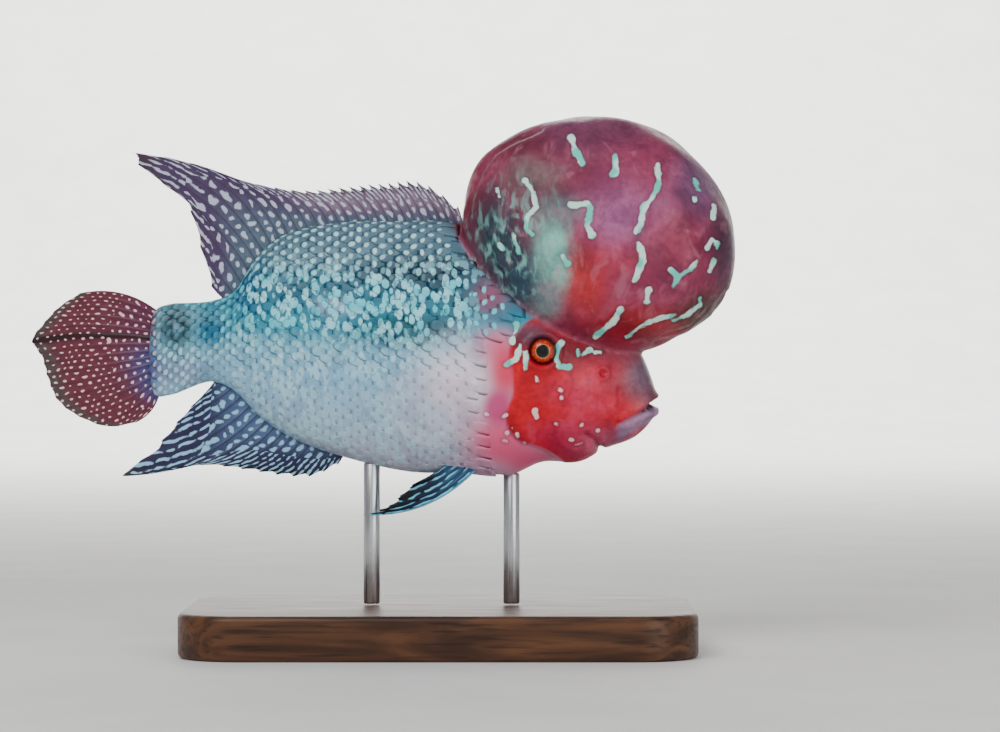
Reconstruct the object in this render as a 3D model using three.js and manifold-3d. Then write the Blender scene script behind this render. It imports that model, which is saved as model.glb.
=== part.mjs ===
// A flowerhorn cichlid, a still life-size model on a plain display stand.
// Millimetres. +X runs to the snout, +Y to the fish's left side, +Z up.
// The origin is the centre of the stand's underside, and Y = 0 is the fish's middle plane.

import * as THREE from 'three';
import { mergeVertices } from 'three/addons/utils/BufferGeometryUtils.js';
import { ParametricGeometry } from 'three/addons/geometries/ParametricGeometry.js';
import Module from 'manifold-3d';

const wasm = await Module();
wasm.setup();

// Driving dimensions

const gap = 0.3;
const farOut = 200;

// The body from tail to snout: the back point, the belly point and the half width of each section.
const bodySections = [
  { back: [-53.0, 54.0], belly: [-53.0, 53.9], half: 0 },
  { back: [-52.2, 60.8], belly: [-52.2, 46.6], half: 1.6 },
  { back: [-49.0, 62.7], belly: [-48.6, 46.3], half: 2.5 },
  { back: [-42.0, 63.2], belly: [-42.0, 48.6], half: 3.6 },
  { back: [-37.2, 65.2], belly: [-37.4, 47.0], half: 4.8 },
  { back: [-33.4, 71.2], belly: [-32.4, 42.0], half: 6.2 },
  { back: [-28.0, 75.4], belly: [-26.0, 38.0], half: 7.8 },
  { back: [-18.2, 77.5], belly: [-17.3, 34.9], half: 9.4 },
  { back: [-7.3, 77.8], belly: [-6.0, 32.3], half: 10.5 },
  { back: [1.8, 77.6], belly: [3.5, 32.0], half: 11.2 },
  { back: [10.0, 75.0], belly: [12.0, 31.4], half: 11.8 },
  { back: [18.0, 69.0], belly: [18.5, 34.0], half: 12.0 },
  { back: [26.0, 62.0], belly: [25.0, 34.4], half: 10.9 },
  { back: [32.0, 57.6], belly: [30.0, 36.5], half: 8.9 },
  { back: [36.2, 54.2], belly: [35.0, 38.3], half: 7.0 },
  { back: [38.5, 49.2], belly: [38.2, 41.2], half: 4.8 },
  { back: [39.6, 45.0], belly: [39.6, 44.4], half: 0 },
];
const bodyRings = 44;
const bodySides = 24;

// The hump on the nape: its middle, half width, and its reach at even turns from the front, upwards.
const humpMiddle = new THREE.Vector3(28.5, 0, 76.0);
const humpHalfWidth = 17.0;
const humpReach = [25.2, 22.7, 21.5, 21.2, 22.9, 25.9, 25.4, 23.0, 22.4, 22.4, 24.0, 26.4];
const humpFullness = 2.5;
const humpGroove = { depth: 0.07, halfWidth: 4.5, turn: 2.55, spread: 0.75 };
const humpTurns = 40;
const humpSlices = 22;

// The eye, and the socket that it sits in.
const eye = { x: 18.5, z: 54.1, radius: 2.7, outOfHead: 1.0, sides: 20, rings: 12 };

// The gill line, where the head meets the trunk, and the gill cover's oval plate.
const gillLine = { x: 13.6, z: 46.0, bend: 0.018 };
const gillCover = { x: 17.4, z: 43.7, halfLength: 5.3, halfHeight: 7.2, proud: 0.45, thickness: 2.2, sides: 28 };

// The mouth: its corner, the opening at the lips, the hinge under the cheek, and the lips.
const mouth = {
  corner: [32.2, 40.8],
  upper: [42.0, 47.0],
  lower: [42.0, 45.4],
  hinge: [27.8, 33.0],
  lipShift: 0.7,
  lipRadius: 1.0,
  lipSteps: 18,
  lipSides: 8,
};
const nostril = { x: 29.4, z: 50.2, radius: 0.6, depth: 1.0, sides: 10 };

// Fins: half thicknesses at root and edge, on a ray and on the membrane between two rays.
const rayHalf = { root: 0.6, edge: 0.32 };
const webHalf = { root: 0.34, edge: 0.25 };
const rootSink = 1.6;

// Each edge point is [place along the base, x, z], and each bow [place, share of the ray's length].
// The notch is how far the membrane stops short of the ray tips; the wave sways it.
const dorsalFin = {
  base: [[0, 4.5], [0.1, 1.0], [0.4, -12.0], [0.55, -19.5], [0.7, -27.0], [0.85, -33.0], [1, -38.2]],
  edge: [
    [0, 3.2, 80.6], [0.08, -2.6, 84.6], [0.25, -10.9, 84.7], [0.4, -18.2, 84.0], [0.55, -27.0, 83.6],
    [0.66, -36.4, 85.3], [0.76, -47.3, 88.9], [0.83, -56.4, 89.9], [0.875, -51.8, 85.4],
    [0.91, -46.6, 81.8], [0.95, -44.4, 75.6], [1, -41.6, 66.0],
  ],
  rays: 28,
  rows: 7,
  notch: 1.1,
  bow: [[0, -0.04], [0.83, -0.1], [1, 0.05]],
  wave: { size: 0.7, turns: 2.5 },
};
const analFin = {
  base: [[0, -17.0], [0.5, -28.5], [1, -39.8]],
  edge: [
    [0, -18.6, 33.5], [0.12, -23.3, 31.4], [0.26, -29.5, 31.6], [0.4, -36.0, 32.7], [0.55, -44.6, 33.4],
    [0.68, -58.2, 31.6], [0.75, -53.0, 35.4], [0.84, -49.0, 40.0], [0.92, -45.8, 43.6], [1, -42.4, 46.8],
  ],
  rays: 16,
  rows: 7,
  notch: 0.9,
  bow: [[0, 0.04], [0.68, 0.1], [1, -0.03]],
  wave: { size: 0.6, turns: 1.5 },
};
const tailFin = {
  root: { x: -51.0, top: 61.2, bottom: 46.4 },
  edge: [
    [0, -65.5, 64.7], [0.1, -69.3, 62.3], [0.22, -72.5, 59.0], [0.33, -74.5, 56.0], [0.42, -72.8, 53.2],
    [0.55, -71.7, 49.4], [0.68, -69.8, 45.2], [0.8, -65.8, 42.2], [0.9, -60.5, 40.4], [1, -55.2, 41.2],
  ],
  rays: 16,
  rows: 7,
  notch: 0.7,
  bow: [[0, -0.12], [1, 0.12]],
  wave: { size: 2.2, turns: 0.5 },
};
const pelvicFin = {
  root: { front: [6.6, 32.6], rear: [1.6, 34.0], side: 3.4 },
  edge: [
    [0, -14.2, 24.7], [0.2, -12.6, 24.9], [0.4, -9.6, 25.8], [0.6, -7.6, 27.6], [0.8, -5.4, 29.6], [1, -2.4, 31.0],
  ],
  rays: 6,
  rows: 7,
  notch: 1.2,
  bow: [[0, 0.12], [1, 0]],
  splay: 2.6,
};
const pectoralFin = {
  root: { upper: [10.4, 46.4], lower: [10.0, 42.0] },
  edge: [[0, -6.5, 51.0], [0.25, -9.6, 47.6], [0.5, -10.2, 43.6], [0.75, -7.6, 39.6], [1, -1.6, 36.6]],
  rays: 12,
  rows: 6,
  notch: 0.6,
  bow: [[0, -0.05], [1, 0.08]],
  sink: 1.3,
  flare: 5.6,
};

// The stand: a flat base and two rods up to the belly.
const base = { length: 92, width: 56, height: 8, corner: 10, bevel: 1.0 };
const rod = { radius: 1.5, frontX: 13.0, rearX: -12.4, sides: 20 };

// Materials

const skin = new THREE.MeshStandardMaterial({ color: 0x7d8f94, roughness: 0.45, metalness: 0.0 });
const rosySkin = new THREE.MeshStandardMaterial({ color: 0xa8616c, roughness: 0.4, metalness: 0.0 });
const redSkin = new THREE.MeshStandardMaterial({ color: 0xc23a40, roughness: 0.4, metalness: 0.0 });
const eyeGloss = new THREE.MeshStandardMaterial({ color: 0x8a2a18, roughness: 0.1, metalness: 0.0 });
const violetFin = new THREE.MeshStandardMaterial({ color: 0x6a4f78, roughness: 0.45, metalness: 0.0 });
const redFin = new THREE.MeshStandardMaterial({ color: 0x6a2430, roughness: 0.45, metalness: 0.0 });
const blueFin = new THREE.MeshStandardMaterial({ color: 0x1c2440, roughness: 0.45, metalness: 0.0 });
const clearFin = new THREE.MeshStandardMaterial({ color: 0xd8b8b8, roughness: 0.35, metalness: 0.0 });
const darkWood = new THREE.MeshStandardMaterial({ color: 0x3a2419, roughness: 0.5, metalness: 0.0 });
const steel = new THREE.MeshStandardMaterial({ color: 0xb8babd, roughness: 0.3, metalness: 1.0 });

// Solids: closed geometry in and out of the Boolean library

function closed(geometry) {
  geometry.deleteAttribute('normal');
  geometry.deleteAttribute('uv');
  const merged = mergeVertices(geometry, 1e-4);
  const index = merged.getIndex().array;
  const kept = [];
  for (let i = 0; i < index.length; i += 3) {
    const [a, b, c] = [index[i], index[i + 1], index[i + 2]];
    if (a !== b && b !== c && c !== a) kept.push(a, b, c);
  }
  if (enclosed(merged.getAttribute('position'), kept) < 0) kept.reverse();
  merged.setIndex(kept);
  return merged;
}

// The volume that the triangles enclose, negative where they face inwards.
function enclosed(place, index) {
  const [a, b, c] = [new THREE.Vector3(), new THREE.Vector3(), new THREE.Vector3()];
  let sum = 0;
  for (let i = 0; i < index.length; i += 3) {
    a.fromBufferAttribute(place, index[i]);
    b.fromBufferAttribute(place, index[i + 1]);
    c.fromBufferAttribute(place, index[i + 2]);
    sum += a.dot(b.cross(c)) / 6;
  }
  return sum;
}

function solid(geometry) {
  const merged = closed(geometry);
  const vertProperties = new Float32Array(merged.getAttribute('position').array);
  const triVerts = new Uint32Array(merged.getIndex().array);
  return new wasm.Manifold(new wasm.Mesh({ numProp: 3, vertProperties, triVerts }));
}

function largest(body) {
  const pieces = body.decompose();
  return pieces.reduce((best, piece) => (piece.volume() > best.volume() ? piece : best));
}

function geometryOf(body) {
  const mesh = largest(body).getMesh();
  const geometry = new THREE.BufferGeometry();
  geometry.setAttribute('position', new THREE.BufferAttribute(mesh.vertProperties, 3));
  geometry.setIndex(new THREE.BufferAttribute(mesh.triVerts, 1));
  geometry.computeVertexNormals();
  return geometry;
}

// The same surface moved outwards by a distance along its own normals.
function grown(geometry, distance) {
  const merged = closed(geometry.clone());
  merged.computeVertexNormals();
  const place = merged.getAttribute('position');
  const normal = merged.getAttribute('normal');
  for (let i = 0; i < place.count; i += 1) {
    place.setXYZ(
      i,
      place.getX(i) + distance * normal.getX(i),
      place.getY(i) + distance * normal.getY(i),
      place.getZ(i) + distance * normal.getZ(i),
    );
  }
  return merged;
}

// Smooth lines through named points: rows of [place, value, value ...].
function through(rows) {
  const places = rows.map((row) => row[0]);
  const values = rows.flatMap((row) => row.slice(1));
  const line = new THREE.CubicInterpolant(places, values, rows[0].length - 1);
  return (place) => Array.from(line.evaluate(place));
}

// Body

const bodyLine = through(bodySections.map(({ back, belly, half }, i) => [
  i / (bodySections.length - 1), ...back, ...belly, half,
]));

function bodyPoint(around, along, target) {
  const [backX, backZ, bellyX, bellyZ, half] = bodyLine(along);
  const angle = around * 2 * Math.PI;
  const rise = 0.5 + 0.5 * Math.sin(angle);
  target.set(
    bellyX + (backX - bellyX) * rise,
    -Math.max(half, 0) * Math.cos(angle),
    bellyZ + (backZ - bellyZ) * rise,
  );
}

const bodyGeometry = new ParametricGeometry(bodyPoint, bodySides, bodyRings);

// The body's half width where a line across the fish meets it at x, z.
function flank(x, z) {
  let low = 0;
  let high = 1;
  for (let step = 0; step < 24; step += 1) {
    const middle = (low + high) / 2;
    const [backX, , bellyX] = bodyLine(middle);
    if ((backX + bellyX) / 2 < x) low = middle;
    else high = middle;
  }
  const [, backZ, , bellyZ, half] = bodyLine(low);
  const rise = THREE.MathUtils.clamp((2 * z - backZ - bellyZ) / (backZ - bellyZ), -1, 1);
  return half * Math.sqrt(1 - rise * rise);
}

function bellyHeight(x) {
  let z = bodySections[0].belly[1];
  for (let step = 0; step <= 200; step += 1) {
    const [, , bellyX, bellyZ] = bodyLine(step / 200);
    if (bellyX <= x) z = bellyZ;
  }
  return z;
}

function backHeight(x) {
  let z = bodySections[0].back[1];
  for (let step = 0; step <= 200; step += 1) {
    const [backX, backZ] = bodyLine(step / 200);
    if (backX <= x) z = backZ;
  }
  return z;
}

// Hump

const humpLine = through([-1, ...humpReach.keys(), humpReach.length, humpReach.length + 1].map((turn) => [
  turn, humpReach[(turn + humpReach.length) % humpReach.length],
]));

function humpPoint(around, across, target) {
  const turn = around * 2 * Math.PI;
  const tilt = (across - 0.5) * Math.PI;
  const round = Math.pow(Math.cos(tilt) + 1e-9, 2 / humpFullness);
  const y = humpHalfWidth * Math.sign(tilt) * Math.pow(Math.abs(Math.sin(tilt)), 2 / humpFullness);
  const near = Math.exp(-(((turn - humpGroove.turn) / humpGroove.spread) ** 2));
  const groove = humpGroove.depth * near * Math.exp(-((y / humpGroove.halfWidth) ** 2));
  const reach = humpLine(around * humpReach.length)[0] * round * (1 - groove);
  target.set(
    humpMiddle.x + reach * Math.cos(turn),
    y,
    humpMiddle.z + reach * Math.sin(turn),
  );
}

const humpGeometry = new ParametricGeometry(humpPoint, humpTurns, humpSlices);

// Blocks that reach right through the fish from side to side

function block(points, from, to) {
  const shape = new THREE.Shape(points.map(([x, z]) => new THREE.Vector2(x, z)));
  const geometry = new THREE.ExtrudeGeometry(shape, { depth: to - from, bevelEnabled: false });
  geometry.rotateX(Math.PI / 2);
  geometry.translate(0, to, 0);
  return solid(geometry);
}

function headBlock(shift) {
  const points = [[farOut, 0], [farOut, farOut]];
  for (let z = 90; z >= 20; z -= 5) {
    points.push([gillLine.x + gillLine.bend * (z - gillLine.z) ** 2 + shift, z]);
  }
  points.push([points.at(-1)[0], 0]);
  return block(points, -farOut, farOut);
}

function oval(x, z, halfLength, halfHeight, sides) {
  return Array.from({ length: sides }, (_, i) => {
    const turn = (i / sides) * 2 * Math.PI;
    return [x + halfLength * Math.cos(turn), z + halfHeight * Math.sin(turn)];
  });
}

// One side's oval block, from depth y outwards; side is -1 for the right and 1 for the left.
function coverBlock(side, extra) {
  const points = oval(
    gillCover.x, gillCover.z, gillCover.halfLength + extra, gillCover.halfHeight + extra, gillCover.sides,
  );
  const inner = flank(gillCover.x, gillCover.z) - gillCover.thickness - extra;
  return side < 0 ? block(points, -farOut, -inner) : block(points, inner, farOut);
}

// Eyes

function eyeGeometry(side, extra) {
  const geometry = new THREE.SphereGeometry(eye.radius + extra, eye.sides, eye.rings);
  geometry.translate(eye.x, side * (flank(eye.x, eye.z) - eye.radius + eye.outOfHead), eye.z);
  return geometry;
}

// Mouth

// What lies below the line of the mouth; extra widens it at the hinge, to part the head from the jaw.
function jawBlock(edge, extra) {
  const { hinge, corner } = mouth;
  return block([
    [hinge[0] - extra, hinge[1]],
    [corner[0] - extra, corner[1]],
    edge,
    [farOut, edge[1]],
    [farOut, 0],
    [hinge[0] - extra, 0],
  ], -farOut, farOut);
}

// A tube along the edge of the mouth, round the snout from corner to corner, moved up or down by shift.
function lip(edge, shift) {
  const points = [];
  for (let step = 0; step <= mouth.lipSteps; step += 1) {
    const turn = (step / mouth.lipSteps) * 2 - 1;
    const x = THREE.MathUtils.lerp(39.0, mouth.corner[0] + 0.6, Math.abs(turn) ** 1.6);
    const share = (x - mouth.corner[0]) / (edge[0] - mouth.corner[0]);
    const z = THREE.MathUtils.lerp(mouth.corner[1], edge[1], share) + shift;
    points.push(new THREE.Vector3(x, Math.sign(turn) * (flank(x, z) - 0.3), z));
  }
  const path = new THREE.CatmullRomCurve3(points);
  const section = new THREE.Shape(oval(0, 0, mouth.lipRadius, mouth.lipRadius, mouth.lipSides)
    .map(([x, y]) => new THREE.Vector2(x, y)));
  return solid(new THREE.ExtrudeGeometry(section, { steps: mouth.lipSteps, extrudePath: path, bevelEnabled: false }));
}

function nostrils() {
  const pits = [-1, 1].map((side) => {
    const pit = new THREE.CylinderGeometry(nostril.radius, nostril.radius, 2 * nostril.depth, nostril.sides);
    return solid(pit.translate(nostril.x, side * flank(nostril.x, nostril.z), nostril.z));
  });
  return pits[0].add(pits[1]);
}

// Fins

// A thin closed sheet. place(u, v) is its middle, half(u, v) its half thickness along Y;
// both faces are split into triangles alike.
function sheet(columns, rows, place, half) {
  const corners = [];
  const index = [];
  const at = (face, i, j) => (face * (columns + 1) + i) * (rows + 1) + j;
  for (const face of [-1, 1]) {
    for (let i = 0; i <= columns; i += 1) {
      for (let j = 0; j <= rows; j += 1) {
        const middle = place(i, j);
        corners.push(middle.x, middle.y + face * half(i, j), middle.z);
      }
    }
  }
  const quad = (a, b, c, d) => index.push(a, b, c, a, c, d);
  for (let i = 0; i < columns; i += 1) {
    for (let j = 0; j < rows; j += 1) {
      const near = [at(0, i, j), at(0, i + 1, j), at(0, i + 1, j + 1), at(0, i, j + 1)];
      const far = near.map((corner) => corner + (columns + 1) * (rows + 1));
      index.push(near[0], near[1], near[2], near[0], near[2], near[3]);
      index.push(far[0], far[2], far[1], far[0], far[3], far[2]);
    }
    quad(at(0, i, 0), at(1, i, 0), at(1, i + 1, 0), at(0, i + 1, 0));
    quad(at(0, i + 1, rows), at(1, i + 1, rows), at(1, i, rows), at(0, i, rows));
  }
  for (let j = 0; j < rows; j += 1) {
    quad(at(0, 0, j + 1), at(1, 0, j + 1), at(1, 0, j), at(0, 0, j));
    quad(at(0, columns, j), at(1, columns, j), at(1, columns, j + 1), at(0, columns, j + 1));
  }
  const geometry = new THREE.BufferGeometry();
  geometry.setAttribute('position', new THREE.Float32BufferAttribute(corners, 3));
  geometry.setIndex(index);
  return solid(geometry);
}

// A fin: rays run from root(u) to the edge line, bowed, with the membrane notched between them.
// Even columns are rays, odd ones membrane; sway(u, v, x, z) gives the middle's y.
function fin({ edge, rays, rows, notch, bow }, root, sway) {
  const edgeLine = through(edge);
  const bowLine = through(bow);
  const columns = 2 * (rays - 1);
  const place = (i, j) => {
    const u = i / columns;
    const [rootX, rootZ] = root(u);
    const [edgeX, edgeZ] = edgeLine(u);
    const length = Math.hypot(edgeX - rootX, edgeZ - rootZ);
    const v = (j / rows) * (i % 2 ? 1 - notch / length : 1);
    const bend = 4 * bowLine(u)[0] * v * (1 - v);
    const x = THREE.MathUtils.lerp(rootX, edgeX, v) + bend * (rootZ - edgeZ);
    const z = THREE.MathUtils.lerp(rootZ, edgeZ, v) + bend * (edgeX - rootX);
    return new THREE.Vector3(x, sway(u, v, x, z), z);
  };
  const half = (i, j) => {
    const kind = i % 2 ? webHalf : rayHalf;
    return THREE.MathUtils.lerp(kind.root, kind.edge, j / rows);
  };
  return sheet(columns, rows, place, half);
}

function waveOf({ size, turns }) {
  return (u, v) => size * v * v * Math.sin(2 * Math.PI * turns * u);
}

function makeDorsalFin() {
  const baseLine = through(dorsalFin.base);
  const root = (u) => {
    const x = baseLine(u)[0];
    return [x, backHeight(x) - rootSink];
  };
  return fin(dorsalFin, root, waveOf(dorsalFin.wave));
}

function makeAnalFin() {
  const baseLine = through(analFin.base);
  const root = (u) => {
    const x = baseLine(u)[0];
    return [x, bellyHeight(x) + rootSink];
  };
  return fin(analFin, root, waveOf(analFin.wave));
}

function makeTailFin() {
  const { x, top, bottom } = tailFin.root;
  const root = (u) => [x, THREE.MathUtils.lerp(top, bottom, u)];
  return fin(tailFin, root, waveOf(tailFin.wave));
}

function makePelvicFin(side) {
  const { front, rear } = pelvicFin.root;
  const root = (u) => [THREE.MathUtils.lerp(front[0], rear[0], u), THREE.MathUtils.lerp(front[1], rear[1], u)];
  const sway = (u, v) => side * (pelvicFin.root.side + pelvicFin.splay * v);
  return fin(pelvicFin, root, sway);
}

function makePectoralFin(side) {
  const { upper, lower } = pectoralFin.root;
  const root = (u) => [THREE.MathUtils.lerp(upper[0], lower[0], u), THREE.MathUtils.lerp(upper[1], lower[1], u)];
  const sway = (u, v, x, z) => side * (flank(x, z) - pectoralFin.sink + pectoralFin.flare * v);
  return fin(pectoralFin, root, sway);
}

// Stand

function makeBase() {
  const { length, width, height, corner, bevel } = base;
  const [halfX, halfY, r] = [length / 2 - bevel, width / 2 - bevel, corner];
  const outline = new THREE.Shape();
  outline.moveTo(-halfX + r, -halfY);
  outline.lineTo(halfX - r, -halfY);
  outline.absarc(halfX - r, -halfY + r, r, -Math.PI / 2, 0, false);
  outline.lineTo(halfX, halfY - r);
  outline.absarc(halfX - r, halfY - r, r, 0, Math.PI / 2, false);
  outline.lineTo(-halfX + r, halfY);
  outline.absarc(-halfX + r, halfY - r, r, Math.PI / 2, Math.PI, false);
  outline.lineTo(-halfX, -halfY + r);
  outline.absarc(-halfX + r, -halfY + r, r, Math.PI, 1.5 * Math.PI, false);
  const plate = new THREE.ExtrudeGeometry(outline, {
    depth: height - 2 * bevel,
    bevelThickness: bevel,
    bevelSize: bevel,
    bevelSegments: 2,
    curveSegments: 6,
  });
  return solid(plate.translate(0, 0, bevel));
}

function makeRod(x) {
  const bottom = base.height + gap;
  const top = bellyHeight(x) + 3;
  const cylinder = new THREE.CylinderGeometry(rod.radius, rod.radius, top - bottom, rod.sides);
  cylinder.rotateX(Math.PI / 2);
  return solid(cylinder.translate(x, 0, (top + bottom) / 2));
}

// Assembly

const wholeBody = solid(bodyGeometry.clone());
const bodyRoom = solid(grown(bodyGeometry, gap));
const wholeHump = solid(humpGeometry.clone());
const humpRoom = solid(grown(humpGeometry, gap));
const coverSkin = solid(grown(bodyGeometry, gillCover.proud));
const sides = [['right', -1], ['left', 1]];

const fish = new THREE.Group();

function add(name, body, material) {
  const mesh = new THREE.Mesh(geometryOf(body), material);
  mesh.name = name;
  fish.add(mesh);
}

let trunk = wholeBody.subtract(headBlock(-gap / 2)).subtract(humpRoom);
let hump = wholeHump;
let head = wholeBody.intersect(headBlock(gap / 2)).add(lip(mouth.upper, mouth.lipShift)).subtract(humpRoom).subtract(nostrils());
const jaw = wholeBody.add(lip(mouth.lower, -mouth.lipShift)).intersect(jawBlock(mouth.lower, 0)).subtract(humpRoom);
head = head.subtract(jawBlock(mouth.upper, gap));

for (const [name, side] of sides) {
  const pocket = coverBlock(side, gap);
  trunk = trunk.subtract(pocket);
  const socket = solid(eyeGeometry(side, gap));
  head = head.subtract(pocket).subtract(socket);
  hump = hump.subtract(socket);
  add(`eye_${name}`, solid(eyeGeometry(side, 0)), eyeGloss);
  add(`gill_cover_${name}`, coverSkin.intersect(coverBlock(side, 0)), redSkin);
  add(`pectoral_fin_${name}`, makePectoralFin(side).subtract(bodyRoom), clearFin);
  add(`pelvic_fin_${name}`, makePelvicFin(side).subtract(bodyRoom), blueFin);
}

add('trunk', trunk, skin);
add('head', head, redSkin);
add('lower_jaw', jaw, rosySkin);
add('nuchal_hump', hump, rosySkin);
add('dorsal_fin', makeDorsalFin().subtract(bodyRoom).subtract(humpRoom), violetFin);
add('anal_fin', makeAnalFin().subtract(bodyRoom), violetFin);
add('caudal_fin', makeTailFin().subtract(bodyRoom), redFin);
add('stand_base', makeBase(), darkWood);
add('stand_rod_front', makeRod(rod.frontX).subtract(bodyRoom), steel);
add('stand_rod_rear', makeRod(rod.rearX).subtract(bodyRoom), steel);

export default fish;
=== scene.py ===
import bpy
import numpy as np
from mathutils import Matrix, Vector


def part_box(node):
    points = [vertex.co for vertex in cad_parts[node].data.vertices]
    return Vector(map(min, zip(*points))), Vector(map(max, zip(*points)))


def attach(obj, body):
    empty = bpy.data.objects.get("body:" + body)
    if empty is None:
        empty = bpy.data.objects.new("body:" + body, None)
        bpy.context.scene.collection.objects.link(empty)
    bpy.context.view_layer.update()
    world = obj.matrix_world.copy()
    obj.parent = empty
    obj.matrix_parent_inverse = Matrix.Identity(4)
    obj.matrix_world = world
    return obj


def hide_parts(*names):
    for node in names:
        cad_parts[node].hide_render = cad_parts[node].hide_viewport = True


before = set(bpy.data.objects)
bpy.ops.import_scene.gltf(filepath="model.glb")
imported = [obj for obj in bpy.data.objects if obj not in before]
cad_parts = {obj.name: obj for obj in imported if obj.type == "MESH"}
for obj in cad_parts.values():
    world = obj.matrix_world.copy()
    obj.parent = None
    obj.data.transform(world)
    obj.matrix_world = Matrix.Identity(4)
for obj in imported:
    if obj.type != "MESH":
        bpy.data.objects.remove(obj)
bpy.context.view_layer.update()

# The skin of the body and the hump
# A flowerhorn cichlid's trunk is deep, short and flat-sided, and a soft water-filled hump stands
# on its nape and overhangs the snout. One closed skin covers them, so no seam shows.
MM = 0.001
BODY = "root"

# Back x, back z, belly x, belly z and half width of each section in mm, from tail to snout.
BODY_SECTIONS = np.array([
    [-53.0, 54.0, -53.0, 53.9, 0.0],
    [-52.2, 60.8, -52.2, 46.6, 1.6],
    [-49.0, 62.7, -48.6, 46.3, 2.5],
    [-42.0, 63.2, -42.0, 48.6, 3.6],
    [-37.2, 65.2, -37.4, 47.0, 4.8],
    [-33.4, 71.2, -32.4, 42.0, 6.2],
    [-28.0, 75.4, -26.0, 38.0, 7.8],
    [-18.2, 77.5, -17.3, 34.9, 9.4],
    [-7.3, 77.8, -6.0, 32.3, 10.5],
    [1.8, 77.6, 3.5, 32.0, 11.2],
    [10.0, 75.0, 12.0, 31.4, 11.8],
    [18.0, 69.0, 18.5, 34.0, 12.0],
    [26.0, 62.0, 25.0, 34.4, 10.9],
    [32.0, 57.6, 30.0, 36.5, 8.9],
    [36.2, 54.2, 35.0, 38.3, 7.0],
    [38.5, 49.2, 38.2, 41.2, 4.8],
    [39.6, 45.0, 39.6, 44.4, 0.0],
])
SECTION_PLACES = np.linspace(0.0, 1.0, len(BODY_SECTIONS))

# The hump: its middle, half width, and its reach at even turns from the front, upwards.
HUMP_X = 28.5
HUMP_Z = 76.0
HUMP_HALF_WIDTH = 16.9
HUMP_REACH = np.array([25.2, 22.7, 21.5, 21.2, 22.9, 25.9, 25.4, 23.0, 22.4, 22.4, 24.0, 26.4])
HUMP_FULLNESS = 2.5
GROOVE_DEPTH = 0.07
GROOVE_HALF_WIDTH = 4.5
GROOVE_TURN = 2.55
GROOVE_SPREAD = 0.75

# The eyes, nostrils and mouth in mm.
EYE_X = 18.5
EYE_Z = 54.1
EYE_RADIUS = 2.7
EYE_OUT = 1.0
NOSTRIL_X = 29.4
NOSTRIL_Z = 50.2
MOUTH_CORNER = (32.2, 40.8)
MOUTH_UPPER = (42.0, 47.0)
MOUTH_LOWER = (42.0, 45.4)
LIP_RADIUS = 0.95
LIP_SHIFT = 0.7


def through(places, values, at):
    """A smooth line through points: on each stretch a cubic whose end slopes are those of the
    chords between the neighbours on both sides, with no bend at the first and last point."""
    places = np.asarray(places, float)
    values = np.asarray(values, float).reshape(len(places), -1)
    at = np.asarray(at, float)
    i = np.clip(np.searchsorted(places, at, side="right"), 1, len(places) - 1)
    t0, t1 = places[i - 1], places[i]
    first, last = i == 1, i == len(places) - 1
    before = np.where(first, i, i - 2)
    after = np.where(last, i - 1, np.minimum(i + 1, len(places) - 1))
    t_before = np.where(first, t1, places[before])
    t_after = np.where(last, t0, places[after])
    half = (t1 - t0) / 2
    wp = half / (t0 - t_before)
    wn = half / (t_after - t1)
    p = (at - t0) / (t1 - t0)
    weights = (
        -wp * p**3 + 2 * wp * p**2 - wp * p,
        (1 + wp) * p**3 + (-1.5 - 2 * wp) * p**2 + (-0.5 + wp) * p + 1,
        (-1 - wn) * p**3 + (1.5 + wn) * p**2 + 0.5 * p,
        wn * p**3 - wn * p**2,
    )
    rows = (before, i - 1, i, after)
    return sum(w[..., None] * values[r] for w, r in zip(weights, rows))


def smoothstep(low, high, value):
    """0 below low and 1 above high, with an even S curve between."""
    t = np.clip((value - low) / (high - low), 0.0, 1.0)
    return t * t * (3 - 2 * t)


def bell(distance, half):
    """1 at distance 0, falling evenly on both sides to 0.37 at half."""
    return np.exp(-((distance / half) ** 2))


def body_point(along, turn):
    """A section is an ellipse from belly to back: height goes with the sine of the turn, and
    width with its cosine, so that turn 0 faces the right side (-Y)."""
    back_x, back_z, belly_x, belly_z, half = np.moveaxis(
        through(SECTION_PLACES, BODY_SECTIONS, along), -1, 0)
    rise = 0.5 + 0.5 * np.sin(turn)
    return np.stack([
        belly_x + (back_x - belly_x) * rise,
        -np.maximum(half, 0) * np.cos(turn),
        belly_z + (back_z - belly_z) * rise,
    ], axis=-1)


def hump_reach(turn):
    """Reach from the hump's middle at a turn in the fish's middle plane, round and round."""
    count = len(HUMP_REACH)
    rows = np.arange(-1, count + 2)
    return through(rows, HUMP_REACH[rows % count], np.mod(turn / (2 * np.pi), 1.0) * count)[..., 0]


def hump_point(turn, across):
    """A superellipsoid with its poles at the sides, whose round profile follows hump_reach, with a
    shallow groove between two lobes at the nape."""
    bulge = np.abs(np.cos(across)) ** (2 / HUMP_FULLNESS)
    y = HUMP_HALF_WIDTH * np.sign(across) * np.abs(np.sin(across)) ** (2 / HUMP_FULLNESS)
    groove = GROOVE_DEPTH * bell(turn - GROOVE_TURN, GROOVE_SPREAD) * bell(y, GROOVE_HALF_WIDTH)
    reach = hump_reach(turn) * bulge * (1 - groove)
    y = np.broadcast_to(y, reach.shape)
    return np.stack([HUMP_X + reach * np.cos(turn), y, HUMP_Z + reach * np.sin(turn)], axis=-1)


def hump_measure(points):
    """1 on the hump's surface, less inside it and more outside."""
    x, y, z = points[..., 0] - HUMP_X, points[..., 1], points[..., 2] - HUMP_Z
    reach = np.hypot(x, z) / hump_reach(np.arctan2(z, x))
    wide = np.abs(y) / HUMP_HALF_WIDTH
    return (reach**HUMP_FULLNESS + wide**HUMP_FULLNESS) ** (1 / HUMP_FULLNESS)


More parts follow.
